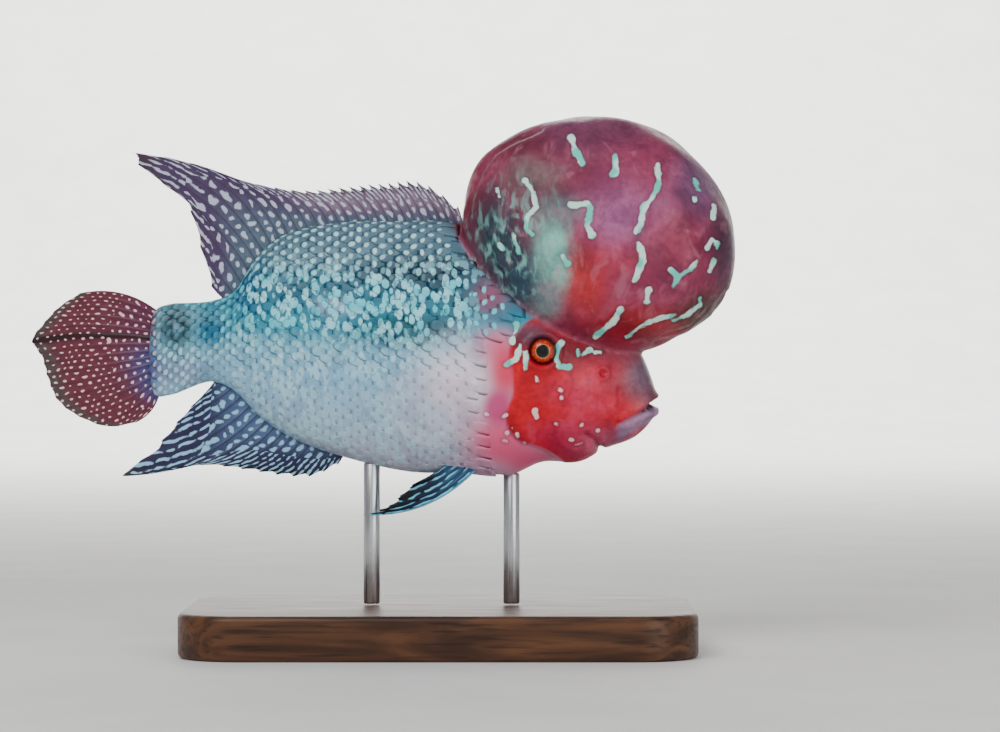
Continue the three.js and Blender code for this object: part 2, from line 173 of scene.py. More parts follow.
def mesh_object(name, points, faces, smooth=True):
    """A mesh object from an array of points in mm and an array of equal faces."""
    faces = np.asarray(faces, np.int32)
    mesh = bpy.data.meshes.new(name)
    mesh.vertices.add(len(points))
    mesh.vertices.foreach_set("co", (np.asarray(points) * MM).astype(np.float32).ravel())
    mesh.loops.add(faces.size)
    mesh.loops.foreach_set("vertex_index", faces.ravel())
    mesh.polygons.add(len(faces))
    mesh.polygons.foreach_set("loop_start", np.arange(0, faces.size, faces.shape[1], dtype=np.int32))
    mesh.update(calc_edges=True)
    mesh.validate()
    if smooth:
        mesh.shade_smooth()
    piece = bpy.data.objects.new(name, mesh)
    bpy.context.scene.collection.objects.link(piece)
    return piece


def grid_faces(rows, columns, wrap=False):
    """Quads of a grid of rows x columns points, its last column joined to the first where it wraps."""
    i, j = np.meshgrid(np.arange(rows - 1), np.arange(columns if wrap else columns - 1), indexing="ij")
    here, below = i * columns, (i + 1) * columns
    beside = (j + 1) % columns
    return np.stack([here + j, below + j, below + beside, here + beside], axis=-1).reshape(-1, 4)


def halved(quads):
    """Each quad as two triangles, the first halves of all before the second."""
    return np.concatenate([quads[:, [0, 1, 2]], quads[:, [0, 2, 3]]])


def capped_grid(name, points):
    """A closed surface from rings of points (rows), with a fan to the middle of both end rings."""
    rows, columns = points.shape[:2]
    flat = points.reshape(-1, 3)
    ends = np.stack([points[0].mean(axis=0), points[-1].mean(axis=0)])
    triangles = halved(grid_faces(rows, columns, wrap=True))
    j = np.arange(columns)
    j2 = (j + 1) % columns
    first = np.stack([np.full(columns, rows * columns), j, j2], axis=-1)
    last_row = (rows - 1) * columns
    last = np.stack([np.full(columns, rows * columns + 1), last_row + j2, last_row + j], axis=-1)
    return mesh_object(name, np.concatenate([flat, ends]), np.concatenate([triangles, first, last]))


def flank(x, z):
    """The body's half width where a line across the fish meets it at x, z."""
    along = np.linspace(0.0, 1.0, 800)
    back_x, back_z, belly_x, belly_z, half = through(SECTION_PLACES, BODY_SECTIONS, along).T
    s = np.interp(x, (back_x + belly_x) / 2, along)
    back_z, belly_z, half = (np.interp(s, along, line) for line in (back_z, belly_z, half))
    rise = np.clip((2 * z - back_z - belly_z) / (back_z - belly_z), -1, 1)
    return half * np.sqrt(1 - rise**2)


LIP_FRONT = 39.0
LIP_END = MOUTH_CORNER[0] + 0.6
LIP_ROUND = 1.6
LIP_SINK = 0.3
LIP_THIN_END = 0.35


def lip_tube(name, edge, shift):
    """A round tube along the edge of the mouth, from corner to corner round the snout, thinner
    towards the corners."""
    turn = np.linspace(-1, 1, 90)
    x = LIP_FRONT + (LIP_END - LIP_FRONT) * np.abs(turn) ** LIP_ROUND
    share = (x - MOUTH_CORNER[0]) / (edge[0] - MOUTH_CORNER[0])
    z = MOUTH_CORNER[1] + share * (edge[1] - MOUTH_CORNER[1]) + shift
    path = np.stack([x, np.sign(turn) * (flank(x, z) - LIP_SINK), z], axis=-1)
    ahead = np.gradient(path, axis=0)
    ahead /= np.linalg.norm(ahead, axis=1, keepdims=True)
    up = np.tile([0.0, 0.0, 1.0], (len(path), 1))
    out = np.cross(ahead, up)
    out /= np.linalg.norm(out, axis=1, keepdims=True)
    up = np.cross(out, ahead)
    radius = LIP_RADIUS * (LIP_THIN_END + (1 - LIP_THIN_END) * np.sqrt(1 - turn**2))
    angle = np.linspace(0, 2 * np.pi, 16, endpoint=False)
    ring = np.cos(angle)[None, :, None] * out[:, None] + np.sin(angle)[None, :, None] * up[:, None]
    return capped_grid(name, path[:, None] + radius[:, None, None] * ring)


# The size of the skin's faces in mm, and how many rounds of smoothing follow.
SKIN_VOXEL = 0.43
SKIN_SMOOTHING = 6


def evaluated(piece):
    """The mesh that a piece's modifiers make."""
    graph = bpy.context.evaluated_depsgraph_get()
    return bpy.data.meshes.new_from_object(piece.evaluated_get(graph))


def fused_skin():
    """Body, hump and lips as closed surfaces that pass into each other, drawn over with one skin of
    small even faces."""
    along = 0.5 - 0.5 * np.cos(np.linspace(0.02, np.pi - 0.02, 260))
    turn = np.linspace(0, 2 * np.pi, 160, endpoint=False)
    body = capped_grid("skin_body", body_point(along[:, None], turn[None, :]))
    around = np.linspace(0, 2 * np.pi, 180, endpoint=False)
    across = np.linspace(-np.pi / 2 + 0.02, np.pi / 2 - 0.02, 120)
    hump = capped_grid("skin_hump", hump_point(around[None, :], across[:, None]))
    lips = [
        lip_tube("skin_upper_lip", MOUTH_UPPER, LIP_SHIFT),
        lip_tube("skin_lower_lip", MOUTH_LOWER, -LIP_SHIFT),
    ]
    parts = [body, hump, *lips]
    with bpy.context.temp_override(active_object=body, selected_editable_objects=parts):
        bpy.ops.object.join()
    fuse = body.modifiers.new("fuse", "REMESH")
    fuse.mode = "VOXEL"
    fuse.voxel_size = SKIN_VOXEL * MM
    mesh = evaluated(body)
    bpy.data.objects.remove(body)
    return mesh


def positions(mesh):
    """A mesh's points in mm."""
    co = np.empty(len(mesh.vertices) * 3, np.float32)
    mesh.vertices.foreach_get("co", co)
    return co.reshape(-1, 3).astype(float) / MM


def normals(mesh):
    """The outward direction at each point."""
    mesh.update()
    value = np.empty(len(mesh.vertices) * 3, np.float32)
    mesh.vertices.foreach_get("normal", value)
    return value.reshape(-1, 3).astype(float)


def place(mesh, points):
    """Moves a mesh's points to places given in mm."""
    mesh.vertices.foreach_set("co", (points * MM).astype(np.float32).ravel())
    mesh.update()


def smoothed(mesh, points, rounds):
    """Each point moves half way to the mean of its neighbours, round by round."""
    edges = np.empty(len(mesh.edges) * 2, np.int32)
    mesh.edges.foreach_get("vertices", edges)
    a, b = edges.reshape(-1, 2).T
    count = np.bincount(a, minlength=len(points)) + np.bincount(b, minlength=len(points))
    for _ in range(rounds):
        total = np.stack([
            np.bincount(a, points[b, k], len(points)) + np.bincount(b, points[a, k], len(points))
            for k in range(3)
        ], axis=-1)
        points = points + 0.5 * (total / count[:, None] - points)
    return points


# Places seen in the photograph are given in its pixels: its scale on the fish's middle plane, where
# x = 0, z = 0 shows, and the frame's middle, which the camera looks straight at.
PIXELS_PER_MM = 5.5
ORIGIN_PIXEL = (440, 649)
FRAME_MIDDLE = (500, 366)
CAMERA_DISTANCE = 600.0
FAR_AWAY = 99.0


def at_pixel(pixels):
    """x, z in mm on the middle plane of points given in photo pixels."""
    return (np.asarray(pixels, float) - ORIGIN_PIXEL) / PIXELS_PER_MM * (1, -1)


def seen_at(points):
    """The photo pixel at which a point of the right side shows, and on the left side that of its
    mirror image: lengths from the frame's middle grow as a point comes nearer the camera."""
    nearer = CAMERA_DISTANCE / (CAMERA_DISTANCE - np.abs(points[..., 1:2]))
    away = (points[..., [0, 2]] - at_pixel(FRAME_MIDDLE)) * nearer
    return FRAME_MIDDLE + PIXELS_PER_MM * away * (1, -1)


def line_distance(pixels, line):
    """Millimetres from each point, given in pixels, to the nearest stretch of a line, and FAR_AWAY
    where it is further than that."""
    nearest = np.full(len(pixels), FAR_AWAY) * PIXELS_PER_MM
    line = np.asarray(line, float)
    for a, b in zip(line[:-1], line[1:]):
        way = b - a
        share = np.clip(((pixels - a) @ way) / (way @ way), 0, 1)
        nearest = np.minimum(nearest, np.linalg.norm(pixels - a - share[:, None] * way, axis=1))
    return nearest / PIXELS_PER_MM


# The gill cover's rear edge, x at each height z, and how far it stands proud.
GILL_EDGE = np.array([[33.0, 24.0], [35.2, 21.2], [36.8, 18.2], [38.0, 14.8], [40.0, 12.7], [42.6, 12.0],
                      [46.5, 13.2], [50.3, 13.2], [54.0, 12.6], [58.5, 14.8], [62.0, 20.0]])
GILL_STEP = 0.5
CHEEK_FOLD = np.array([[39.5, 30.9], [42.0, 32.2], [45.0, 32.6], [48.4, 32.2]])

# Creases in the skin: depth and half width in mm, and the line in photo pixels.
CREASES = [
    (0.5, 0.5, [(466, 224), (469, 200), (478, 171), (492, 152), (514, 138), (540, 127)]),
    (0.35, 0.4, [(470, 213), (480, 240), (499, 278), (513, 303)]),
    (0.3, 0.35, [(484, 230), (494, 262), (512, 292)]),
    (0.9, 0.6, [(603, 452), (595, 442), (586, 436)]),
    (0.35, 0.4, [(474, 470), (490, 475), (505, 478), (524, 477)]),
    (0.3, 0.35, [(655, 345), (690, 336), (713, 318), (728, 292)]),
    (0.25, 0.3, [(664, 338), (692, 328), (712, 308)]),
]
THROAT = (577, 452)
THROAT_REACH = 19
THROAT_SWELL = 0.5

# The rest of the head's relief: heights and depths, half widths, and where each form starts and is
# full, all in mm. The mouth's two numbers are for its sides and for what its front adds.
LINE_FADE = 1.5
SIDE_FADE = (1.0, 3.0)
GILL_RISE = (-0.35, 0.35)
GILL_FADE = 6.0
FOLD_DEPTH = 0.4
FOLD_HALF = 0.5
FOLD_SWELL = 0.25
FOLD_RISE = (0.0, 0.8)
FOLD_FADE = 2.5
MOUTH_FRONT = (36.8, 38.6)
MOUTH_DEPTH = (0.5, 1.4)
MOUTH_HALF = (0.35, 0.2)
EYE_SIDE = (5.0, 7.0)
EYE_RIM = 0.4
EYE_RIM_OUT = 0.45
EYE_RIM_HALF = 0.5
SOCKET_DEPTH = 1.7
SOCKET_EDGE = (EYE_RADIUS + 0.1, EYE_RADIUS - 0.7)
NOSTRIL_RIM = 0.18
NOSTRIL_RIM_RADIUS = 0.95
NOSTRIL_RIM_HALF = 0.3
NOSTRIL_DEPTH = 0.8
NOSTRIL_EDGE = (0.75, 0.3)


def line_offset(line, points):
    """How far ahead (+X) of a line of [z, x] points each point lies, and 1 within its heights."""
    z = points[:, 2]
    low, high = line[0, 0], line[-1, 0]
    ahead = points[:, 0] - through(line[:, 0], line[:, 1], np.clip(z, low, high))[:, 0]
    return ahead, smoothstep(low, low + LINE_FADE, z) * smoothstep(high, high - LINE_FADE, z)


def mouth_offset(points):
    """Height above the closed line of the mouth, and 1 along its length."""
    x = points[:, 0]
    slope = (MOUTH_LOWER[1] + MOUTH_UPPER[1] - 2 * MOUTH_CORNER[1]) / 2 / (MOUTH_UPPER[0] - MOUTH_CORNER[0])
    above = points[:, 2] - (MOUTH_CORNER[1] + slope * (x - MOUTH_CORNER[0]))
    return above, smoothstep(MOUTH_CORNER[0] - 1.0, MOUTH_CORNER[0] + 0.5, x)


def head_relief(points):
    """Millimetres outwards: the gill cover's step, the fold behind the jaw, the line of the mouth,
    the rim and socket of each eye, and the nostrils."""
    side = smoothstep(*SIDE_FADE, np.abs(points[:, 1]))
    ahead, within = line_offset(GILL_EDGE, points)
    cover = GILL_STEP * smoothstep(*GILL_RISE, ahead) * np.exp(-np.maximum(ahead, 0) / GILL_FADE)
    relief = cover * within * side
    ahead, within = line_offset(CHEEK_FOLD, points)
    relief -= FOLD_DEPTH * bell(ahead, FOLD_HALF) * within * side
    swell = FOLD_SWELL * smoothstep(*FOLD_RISE, ahead) * np.exp(-np.maximum(ahead, 0) / FOLD_FADE)
    relief += swell * within * side
    above, along = mouth_offset(points)
    front = smoothstep(*MOUTH_FRONT, points[:, 0])
    depth, half = (sides + more * front for sides, more in (MOUTH_DEPTH, MOUTH_HALF))
    relief -= depth * bell(above, half) * along
    relief += THROAT_SWELL * bell(np.linalg.norm(seen_at(points) - THROAT, axis=1), THROAT_REACH)
    eye = np.hypot(points[:, 0] - EYE_X, points[:, 2] - EYE_Z)
    outer = smoothstep(*EYE_SIDE, np.abs(points[:, 1]))
    relief += EYE_RIM * bell(eye - EYE_RADIUS - EYE_RIM_OUT, EYE_RIM_HALF) * outer
    relief -= SOCKET_DEPTH * smoothstep(*SOCKET_EDGE, eye) * outer
    pit = np.hypot(points[:, 0] - NOSTRIL_X, points[:, 2] - NOSTRIL_Z)
    relief += NOSTRIL_RIM * bell(pit - NOSTRIL_RIM_RADIUS, NOSTRIL_RIM_HALF) * side
    relief -= NOSTRIL_DEPTH * smoothstep(*NOSTRIL_EDGE, pit) * side
    return relief


def hump_relief(points, on_hump):
    """Low lumps all over the hump, drawn in a little so that it keeps its outer size."""
    x, y, z = points.T
    lumps = np.sin(0.42 * x + 0.3 * z + 0.5 * y) + np.sin(0.33 * z - 0.27 * x + 0.6 * y + 1.3)
    return on_hump * (0.12 * lumps - 0.3)


def crease_relief(points):
    """Each crease is a groove with a bell-shaped section along its line."""
    pixels = seen_at(points)
    return -sum(depth * bell(line_distance(pixels, line), half) for depth, half, line in CREASES)


def paint(red, green, blue):
    """A colour as it looks on screen, 0 to 255, turned into light."""
    value = np.array([red, green, blue]) / 255
    return np.where(value <= 0.04045, value / 12.92, ((value + 0.055) / 1.055) ** 2.4)


# Bands of the trunk by height in the photo, and colour patches: middle and reach in photo pixels,
# colour, and strength.
TRUNK_BANDS = [
    (235, paint(90, 122, 140)), (285, paint(44, 108, 132)), (325, paint(44, 136, 160)),
    (350, paint(116, 180, 210)), (385, paint(138, 190, 220)), (430, paint(164, 194, 218)),
    (470, paint(200, 192, 216)),
]
TRUNK_PATCHES = [
    (414, 273, 62, 22, paint(4, 58, 78), 0.95),
    (446, 270, 20, 14, paint(2, 38, 56), 0.7),
    (408, 330, 56, 17, paint(8, 82, 94), 0.9),
    (392, 340, 12, 8, paint(10, 44, 92), 0.8),
    (322, 280, 30, 14, paint(14, 86, 106), 0.8),
    (290, 293, 16, 12, paint(10, 80, 104), 0.75),
    (332, 306, 20, 10, paint(158, 176, 202), 0.7),
    (462, 300, 24, 20, paint(34, 78, 92), 0.6),
    (246, 280, 16, 36, paint(16, 86, 128), 0.85),
    (176, 326, 29, 32, paint(120, 186, 200), 0.9),
    (176, 326, 18, 25, paint(4, 18, 44), 0.99),
    (176, 328, 3.5, 7, paint(120, 176, 196), 0.7),
    (210, 328, 17, 21, paint(2, 92, 126), 0.97),
    (180, 372, 30, 16, paint(116, 126, 158), 0.7),
    (486, 262, 16, 34, paint(84, 62, 84), 0.6),
    (490, 298, 18, 16, paint(160, 60, 92), 0.7),
    (462, 385, 48, 46, paint(246, 230, 246), 0.92),
    (496, 346, 24, 17, paint(226, 120, 156), 0.8),
    (502, 440, 38, 34, paint(234, 76, 122), 0.92),
    (530, 462, 42, 18, paint(224, 84, 126), 0.9),
    (478, 472, 36, 13, paint(214, 170, 202), 0.85),
    (506, 372, 20, 32, paint(224, 40, 82), 0.95),
    (144, 320, 12, 26, paint(104, 44, 78), 0.95),
    (144, 366, 20, 24, paint(74, 72, 132), 0.92),
]
HEAD_PATCHES = [
    (590, 392, 34, 36, paint(208, 42, 74), 0.85),
    (565, 392, 30, 14, paint(190, 46, 76), 0.5),
    (572, 436, 44, 17, paint(188, 44, 82), 0.85),
    (592, 454, 36, 12, paint(196, 74, 106), 0.9),
    (618, 440, 34, 12, paint(186, 86, 118), 0.85),
    (646, 372, 26, 34, paint(118, 114, 130), 0.9),
    (612, 352, 34, 15, paint(136, 66, 82), 0.8),
    (560, 350, 34, 17, paint(120, 40, 54), 0.8),
    (530, 334, 26, 16, paint(52, 66, 84), 0.8),
    (652, 402, 10, 16, paint(112, 76, 88), 0.7),
]
HUMP_PATCHES = [
    (590, 130, 92, 26, paint(116, 60, 90), 0.85),
    (640, 160, 50, 26, paint(150, 62, 92), 0.6),
    # Painted shade: this patch and the next darken the hump's front rim, where its surface turns away.
    (700, 185, 30, 44, paint(112, 82, 116), 0.8),
    (727, 245, 17, 60, paint(76, 52, 72), 0.9),
    (618, 225, 44, 44, paint(174, 104, 150), 0.8),
    (660, 216, 16, 26, paint(168, 96, 138), 0.6),
    (585, 278, 26, 40, paint(186, 44, 46), 0.92),
    (640, 325, 60, 22, paint(158, 28, 38), 0.92),
    (622, 262, 36, 22, paint(172, 44, 66), 0.7),
    (672, 236, 36, 30, paint(150, 38, 68), 0.7),
    (655, 282, 40, 16, paint(136, 44, 76), 0.7),
    # Painted shade and a painted reflection: the hump's lower front rim darkened, in the brown tone of a
    # reflection.
    (708, 318, 34, 26, paint(66, 50, 34), 0.92),
    (463, 185, 18, 50, paint(124, 26, 44), 0.85),
    (520, 150, 36, 24, paint(112, 38, 58), 0.75),
    (497, 238, 28, 50, paint(20, 62, 72), 0.96),
    (522, 282, 26, 36, paint(24, 72, 88), 0.92),
    (532, 178, 34, 20, paint(84, 66, 66), 0.8),
    (551, 250, 19, 38, paint(98, 172, 160), 0.95),
    (556, 238, 10, 12, paint(150, 214, 196), 0.7),
    (560, 274, 9, 14, paint(140, 206, 190), 0.6),
    (560, 208, 28, 16, paint(88, 112, 114), 0.8),
    (548, 300, 16, 20, paint(110, 140, 142), 0.75),
]
CHEEK_RED = paint(214, 14, 34)
HUMP_ROSE = paint(142, 52, 82)
PECTORAL_BASE = (498, 407)
PECTORAL_BASE_REACH = (17, 20)
PECTORAL_MAGENTA = paint(196, 58, 118)
LIP_LILAC = paint(156, 134, 168)
# Painted shade for the gap between the lips.
MOUTH_GAP_SHADE = paint(58, 26, 36)
FLECKED_MIDDLE = (518, 248)
FLECKED_REACH = (50, 62)

# Where these colours start and are full: in mm, but the base of the pectoral fin in its own reach
# and the hump's edge by hump_measure.
PECTORAL_STRENGTH = 0.9
PECTORAL_FADE = (1.3, 0.4)
LIP_STRENGTH = 0.85
LIP_BELOW = (-3.4, -2.2)
LIP_ABOVE = (0.6, -0.2)
GAP_HALF = 0.3
GAP_START = (34.0, 37.0)
HEAD_LOW = (32.0, 34.0)
HEAD_UNDER = (20.0, 22.0)
HEAD_EDGE = (-0.3, 0.3)
HUMP_TONE_EDGE = (1.045, 0.995)
HUMP_TONE_LOW = (53.5, 56.0)


def laid_over(colour, tone, share):
    """A colour with a share of another tone at each point."""
    share = share[..., None]
    return colour * (1 - share) + tone * share


def blended(colour, patches, x_px, y_px):
    """Soft oval patches laid over a colour, one after the other."""
    for px, py, reach_x, reach_y, tone, strength in patches:
        away = ((x_px - px) / reach_x) ** 2 + ((y_px - py) / reach_y) ** 2
        colour = laid_over(colour, tone, strength * np.exp(-(away**1.5)))
    return colour


def head_share(points):
    """1 ahead of the gill cover's edge and on the underside of the head, 0 on the trunk."""
    ahead, within = line_offset(GILL_EDGE, points)
    inside = np.maximum(within, smoothstep(*HEAD_UNDER, points[:, 0])) * smoothstep(*HEAD_LOW, points[:, 2])
    return smoothstep(*HEAD_EDGE, ahead) * inside


def fish_colour(points):
    """The ground colour at each point: bands along the trunk with patches over them, the red cheek
    ahead of the gill cover's edge, the lips and snout with painted shade in the gap of the mouth,
    and the hump, whose front rim is darkened by painted shade."""
    pixels = seen_at(points)
    x_px, y_px = pixels.T
    rows = np.array([row for row, _ in TRUNK_BANDS])
    tones = np.array([tone for _, tone in TRUNK_BANDS])
    colour = np.stack([np.interp(y_px, rows, tones[:, k]) for k in range(3)], axis=-1)
    colour = blended(colour, TRUNK_PATCHES, x_px, y_px)
    base = np.linalg.norm((pixels - PECTORAL_BASE) / PECTORAL_BASE_REACH, axis=1)
    colour = laid_over(colour, PECTORAL_MAGENTA, PECTORAL_STRENGTH * smoothstep(*PECTORAL_FADE, base))
    head = blended(np.broadcast_to(CHEEK_RED, colour.shape), HEAD_PATCHES, x_px, y_px)
    above, along = mouth_offset(points)
    lip = along * smoothstep(*LIP_BELOW, above) * smoothstep(*LIP_ABOVE, above)
    head = laid_over(head, LIP_LILAC, LIP_STRENGTH * lip)
    # Painted shade along the gap of the mouth, from where the lips part to the front.
    head = laid_over(head, MOUTH_GAP_SHADE, bell(above, GAP_HALF) * smoothstep(*GAP_START, points[:, 0]))
    colour = laid_over(colour, head, head_share(points))
    hump = blended(np.broadcast_to(HUMP_ROSE, colour.shape), HUMP_PATCHES, x_px, y_px)
    share = smoothstep(*HUMP_TONE_EDGE, hump_measure(points)) * smoothstep(*HUMP_TONE_LOW, points[:, 2])
    return laid_over(colour, hump, share)


# Pale turquoise worm marks on the hump and round the eye, in photo pixels, with half widths in mm.
MARKS = [
    (0.55, [(571, 138), (576, 151), (582, 164)]),
    (0.6, [(615, 157), (616, 169), (613, 175)]),
    (0.5, [(658, 166), (659, 183), (652, 198), (643, 209), (640, 224), (636, 233)]),
    (0.5, [(638, 243), (643, 254), (643, 262), (638, 272), (634, 281)]),
    (0.42, [(525, 180), (533, 193), (536, 207), (527, 218), (526, 228), (532, 235)]),
    (0.6, [(571, 205), (588, 204), (590, 209), (587, 226), (592, 235)]),
    (0.55, [(563, 256), (567, 264)]),
    (0.42, [(671, 269), (679, 277), (673, 286)]),
    (0.42, [(679, 277), (688, 271), (697, 261)]),
    (0.36, [(707, 248), (712, 239), (717, 243), (717, 249)]),
    (0.3, [(714, 260), (709, 271)]),
    (0.3, [(694, 179), (699, 190)]),
    (0.42, [(695, 198), (695, 199)]),
    (0.36, [(714, 206), (713, 218)]),
    (0.48, [(649, 290), (647, 301)]),
    (0.48, [(621, 310), (612, 323), (596, 336)]),
    (0.36, [(627, 337), (642, 325), (658, 319), (675, 315)]),
    (0.32, [(700, 298), (700, 305), (689, 314), (673, 321)]),
    (0.3, [(497, 189), (499, 196)]),
    (0.3, [(498, 244), (503, 249)]),
    (0.3, [(513, 234), (519, 254)]),
    (0.42, [(520, 346), (516, 360), (506, 364)]),
    (0.36, [(526, 352), (525, 370)]),
    (0.34, [(536, 378), (537, 380)]),
    (0.46, [(562, 342), (556, 350), (556, 358), (560, 367), (569, 367)]),
    (0.34, [(578, 350), (579, 354)]),
    (0.34, [(583, 354), (590, 350)]),
    (0.34, [(596, 352), (600, 352)]),
    (0.46, [(535, 411), (536, 416)]),
    (0.26, [(560, 390), (561, 391)]),
    (0.34, [(561, 397), (562, 399)]),
    (0.34, [(555, 424), (557, 425)]),
    (0.22, [(581, 425), (582, 425)]),
    (0.22, [(597, 430), (598, 430)]),
    (0.24, [(575, 445), (582, 443)]),
    (0.22, [(571, 440), (573, 441)]),
    (0.5, [(507, 316), (509, 320)]),
    (0.5, [(516, 325), (515, 330)]),
    (0.42, [(504, 331), (506, 334)]),
    (0.42, [(513, 339), (512, 342)]),
    (0.2, [(486, 414), (487, 415)]),
    (0.22, [(502, 417), (506, 415)]),
    (0.2, [(512, 427), (512, 428)]),
    (0.22, [(517, 434), (518, 436)]),
    (0.2, [(507, 432), (507, 433)]),
    (0.24, [(504, 441), (506, 442)]),
    (0.2, [(523, 441), (525, 443)]),
]
ROSY_BELOW = 373


def mark_distance(points):
    """Millimetres from the edge of the nearest mark, less than 0 inside it."""
    pixels = seen_at(points)
    return np.min([line_distance(pixels, line) - half for half, line in MARKS], axis=0)


def give_colour(mesh, name, colour):
    """A colour at each vertex."""
    layer = mesh.attributes.new(name, "FLOAT_COLOR", "POINT")
    rgba = np.concatenate([colour, np.ones((len(colour), 1))], axis=1)
    layer.data.foreach_set("color", rgba.astype(np.float32).ravel())


def give_value(mesh, name, value):
    """A number at each vertex."""
    layer = mesh.attributes.new(name, "FLOAT", "POINT")
    layer.data.foreach_set("value", np.asarray(value, np.float32).ravel())


def give_map(mesh, name, uv, corners):
    """Two numbers for each point, written at every corner of its faces."""
    layer = mesh.uv_layers.new(name=name)
    layer.data.foreach_set("uv", uv.reshape(-1, 2)[corners].astype(np.float32).ravel())


class Shader:
    """A new material with one Principled shader, and short calls for the nodes that feed it."""

    def __init__(self, name, **constants):
        self.material = bpy.data.materials.new(name)
        self.material.use_nodes = True
        self.tree = self.material.node_tree
        self.surface = self.tree.nodes["Principled BSDF"]
        for socket, value in constants.items():
            self.surface.inputs[socket.replace("_", " ")].default_value = value

    def node(self, kind, **settings):
        made = self.tree.nodes.new(kind)
        for key, value in settings.items():
            setattr(made, key, value)
        return made

    def link(self, source, target):
        if hasattr(source, "is_output"):
            self.tree.links.new(source, target)
        else:
            target.default_value = source

    def feed(self, socket, source):
        self.link(source, self.surface.inputs[socket])

    def maths(self, operation, a, b=0.0):
        made = self.node("ShaderNodeMath", operation=operation)
        self.link(a, made.inputs[0])
        self.link(b, made.inputs[1])
        return made.outputs[0]

    def times(self, a, b):
        return self.maths("MULTIPLY", a, b)

    def range(self, value, low, high, to_low=0.0, to_high=1.0):
        made = self.node("ShaderNodeMapRange", interpolation_type="SMOOTHSTEP")
        for index, source in enumerate((value, low, high, to_low, to_high)):
            self.link(source, made.inputs[index])
        return made.outputs[0]

    def attribute(self, name, output="Fac"):
        return self.node("ShaderNodeAttribute", attribute_name=name).outputs[output]

    def place(self, scale=(1, 1, 1)):
        where = self.node("ShaderNodeTexCoord").outputs["Object"]
        mapping = self.node("ShaderNodeMapping")
        mapping.inputs["Scale"].default_value = scale
        self.link(where, mapping.inputs["Vector"])
        return mapping.outputs[0]

    def noise(self, vector, scale, detail, distortion=0.0):
        made = self.node("ShaderNodeTexNoise")
        self.link(vector, made.inputs["Vector"])
        made.inputs["Scale"].default_value = scale
        made.inputs["Detail"].default_value = detail
        made.inputs["Distortion"].default_value = distortion
        return made.outputs["Fac"]

    def from_seed(self, vector, scale):
        """Distance to the nearest of scattered points, in steps of 1 / scale."""
        made = self.node("ShaderNodeTexVoronoi")
        self.link(vector, made.inputs["Vector"])
        made.inputs["Scale"].default_value = scale
        return made.outputs["Distance"]

    def mix(self, share, a, b, blend="MIX"):
        made = self.node("ShaderNodeMix", data_type="RGBA", blend_type=blend)
        self.link(share, made.inputs[0])
        self.link(a if hasattr(a, "is_output") else (*a, 1), made.inputs[6])
        self.link(b if hasattr(b, "is_output") else (*b, 1), made.inputs[7])
        return made.outputs[2]

    def bump(self, height, distance, strength):
        made = self.node("ShaderNodeBump")
        made.inputs["Distance"].default_value = distance
        made.inputs["Strength"].default_value = strength
        self.link(height, made.inputs["Height"])
        self.link(made.outputs[0], self.surface.inputs["Normal"])


MARK_TURQUOISE = paint(96, 206, 192)
MARK_WHITE = paint(206, 240, 230)
MARK_ROSY = paint(250, 206, 206)
FLECK_GREEN = paint(132, 194, 184)
WISP_PINK = paint(190, 116, 136)
CLOUD_PINK = paint(206, 108, 140)


def skin_material():
    """Wet, smooth skin: its painted ground in soft darker and paler clouds, pink wisps on the hump
    and pale flecks where it is green, and turquoise worm marks that stand a little proud inside a
    ring of painted shadow. Those low on the head are rosy."""
    shader = Shader("fish skin", Coat_Weight=0.1, Coat_Roughness=0.12, Subsurface_Weight=0.05,
                    Subsurface_Scale=0.002, Specular_IOR_Level=0.2)
    where = shader.place()
    ground = shader.attribute("tint", "Color")
    cloudy = shader.attribute("cloudy")
    broad = shader.noise(where, 150, 5.0, 0.8)
    fine = shader.noise(where, 950, 4.0, 0.4)
    darker = shader.times(shader.range(broad, 0.45, 0.65, 0.0, 0.6), cloudy)
    clouds = shader.mix(darker, ground, (0.5, 0.42, 0.55), "MULTIPLY")
    paler = shader.times(shader.range(broad, 0.46, 0.3, 0.0, 0.16), cloudy)
    clouds = shader.mix(paler, clouds, CLOUD_PINK, "SCREEN")
    grain = shader.times(shader.range(fine, 0.35, 0.7, 0.0, 0.4), cloudy)
    clouds = shader.mix(grain, clouds, (0.5, 0.42, 0.48), "MULTIPLY")
    wisps = shader.range(shader.noise(shader.place((1.0, 1.0, 0.6)), 240, 3.0, 1.2), 0.56, 0.75, 0.0, 0.45)
    clouds = shader.mix(shader.times(wisps, shader.attribute("hump")), clouds, WISP_PINK)
    streaks = shader.noise(shader.place((1.2, 1.0, 0.55)), 620, 2.0, 0.4)
    flecks = shader.times(shader.range(streaks, 0.46, 0.72, 0.0, 0.8), shader.attribute("flecked"))
    clouds = shader.mix(flecks, clouds, FLECK_GREEN)
    wobble = shader.range(shader.noise(where, 480, 2.0), 0.3, 0.7, -0.22, 0.22)
    edge = shader.maths("ADD", shader.attribute("mark"), wobble)
    inside = shader.range(edge, 0.16, -0.12)
    # Painted shadow: a darker ring round each raised mark, multiplied into the ground.
    mark_shadow_ringed = shader.mix(shader.range(edge, 0.7, 0.1, 0.0, 0.4), clouds, (0.4, 0.5, 0.55), "MULTIPLY")
    pale = shader.mix(shader.range(shader.noise(where, 300, 1.0), 0.42, 0.58), MARK_TURQUOISE, MARK_WHITE)
    pale = shader.mix(shader.attribute("rosy"), pale, MARK_ROSY)
    shader.feed("Base Color", shader.mix(inside, mark_shadow_ringed, pale))
    shader.feed("Roughness", shader.range(fine, 0.3, 0.7, 0.34, 0.5))
    shader.bump(shader.maths("ADD", shader.times(fine, 0.6), inside), 0.00012, 0.5)
    return shader.material


# Where the hump's own looks start and are full, by hump_measure and by height in mm, and how much
# of the head's relief it hides.
HUMP_EDGE = (1.06, 0.99)
HUMP_LOW = (54.0, 56.0)
HUMP_HIDES = 0.8

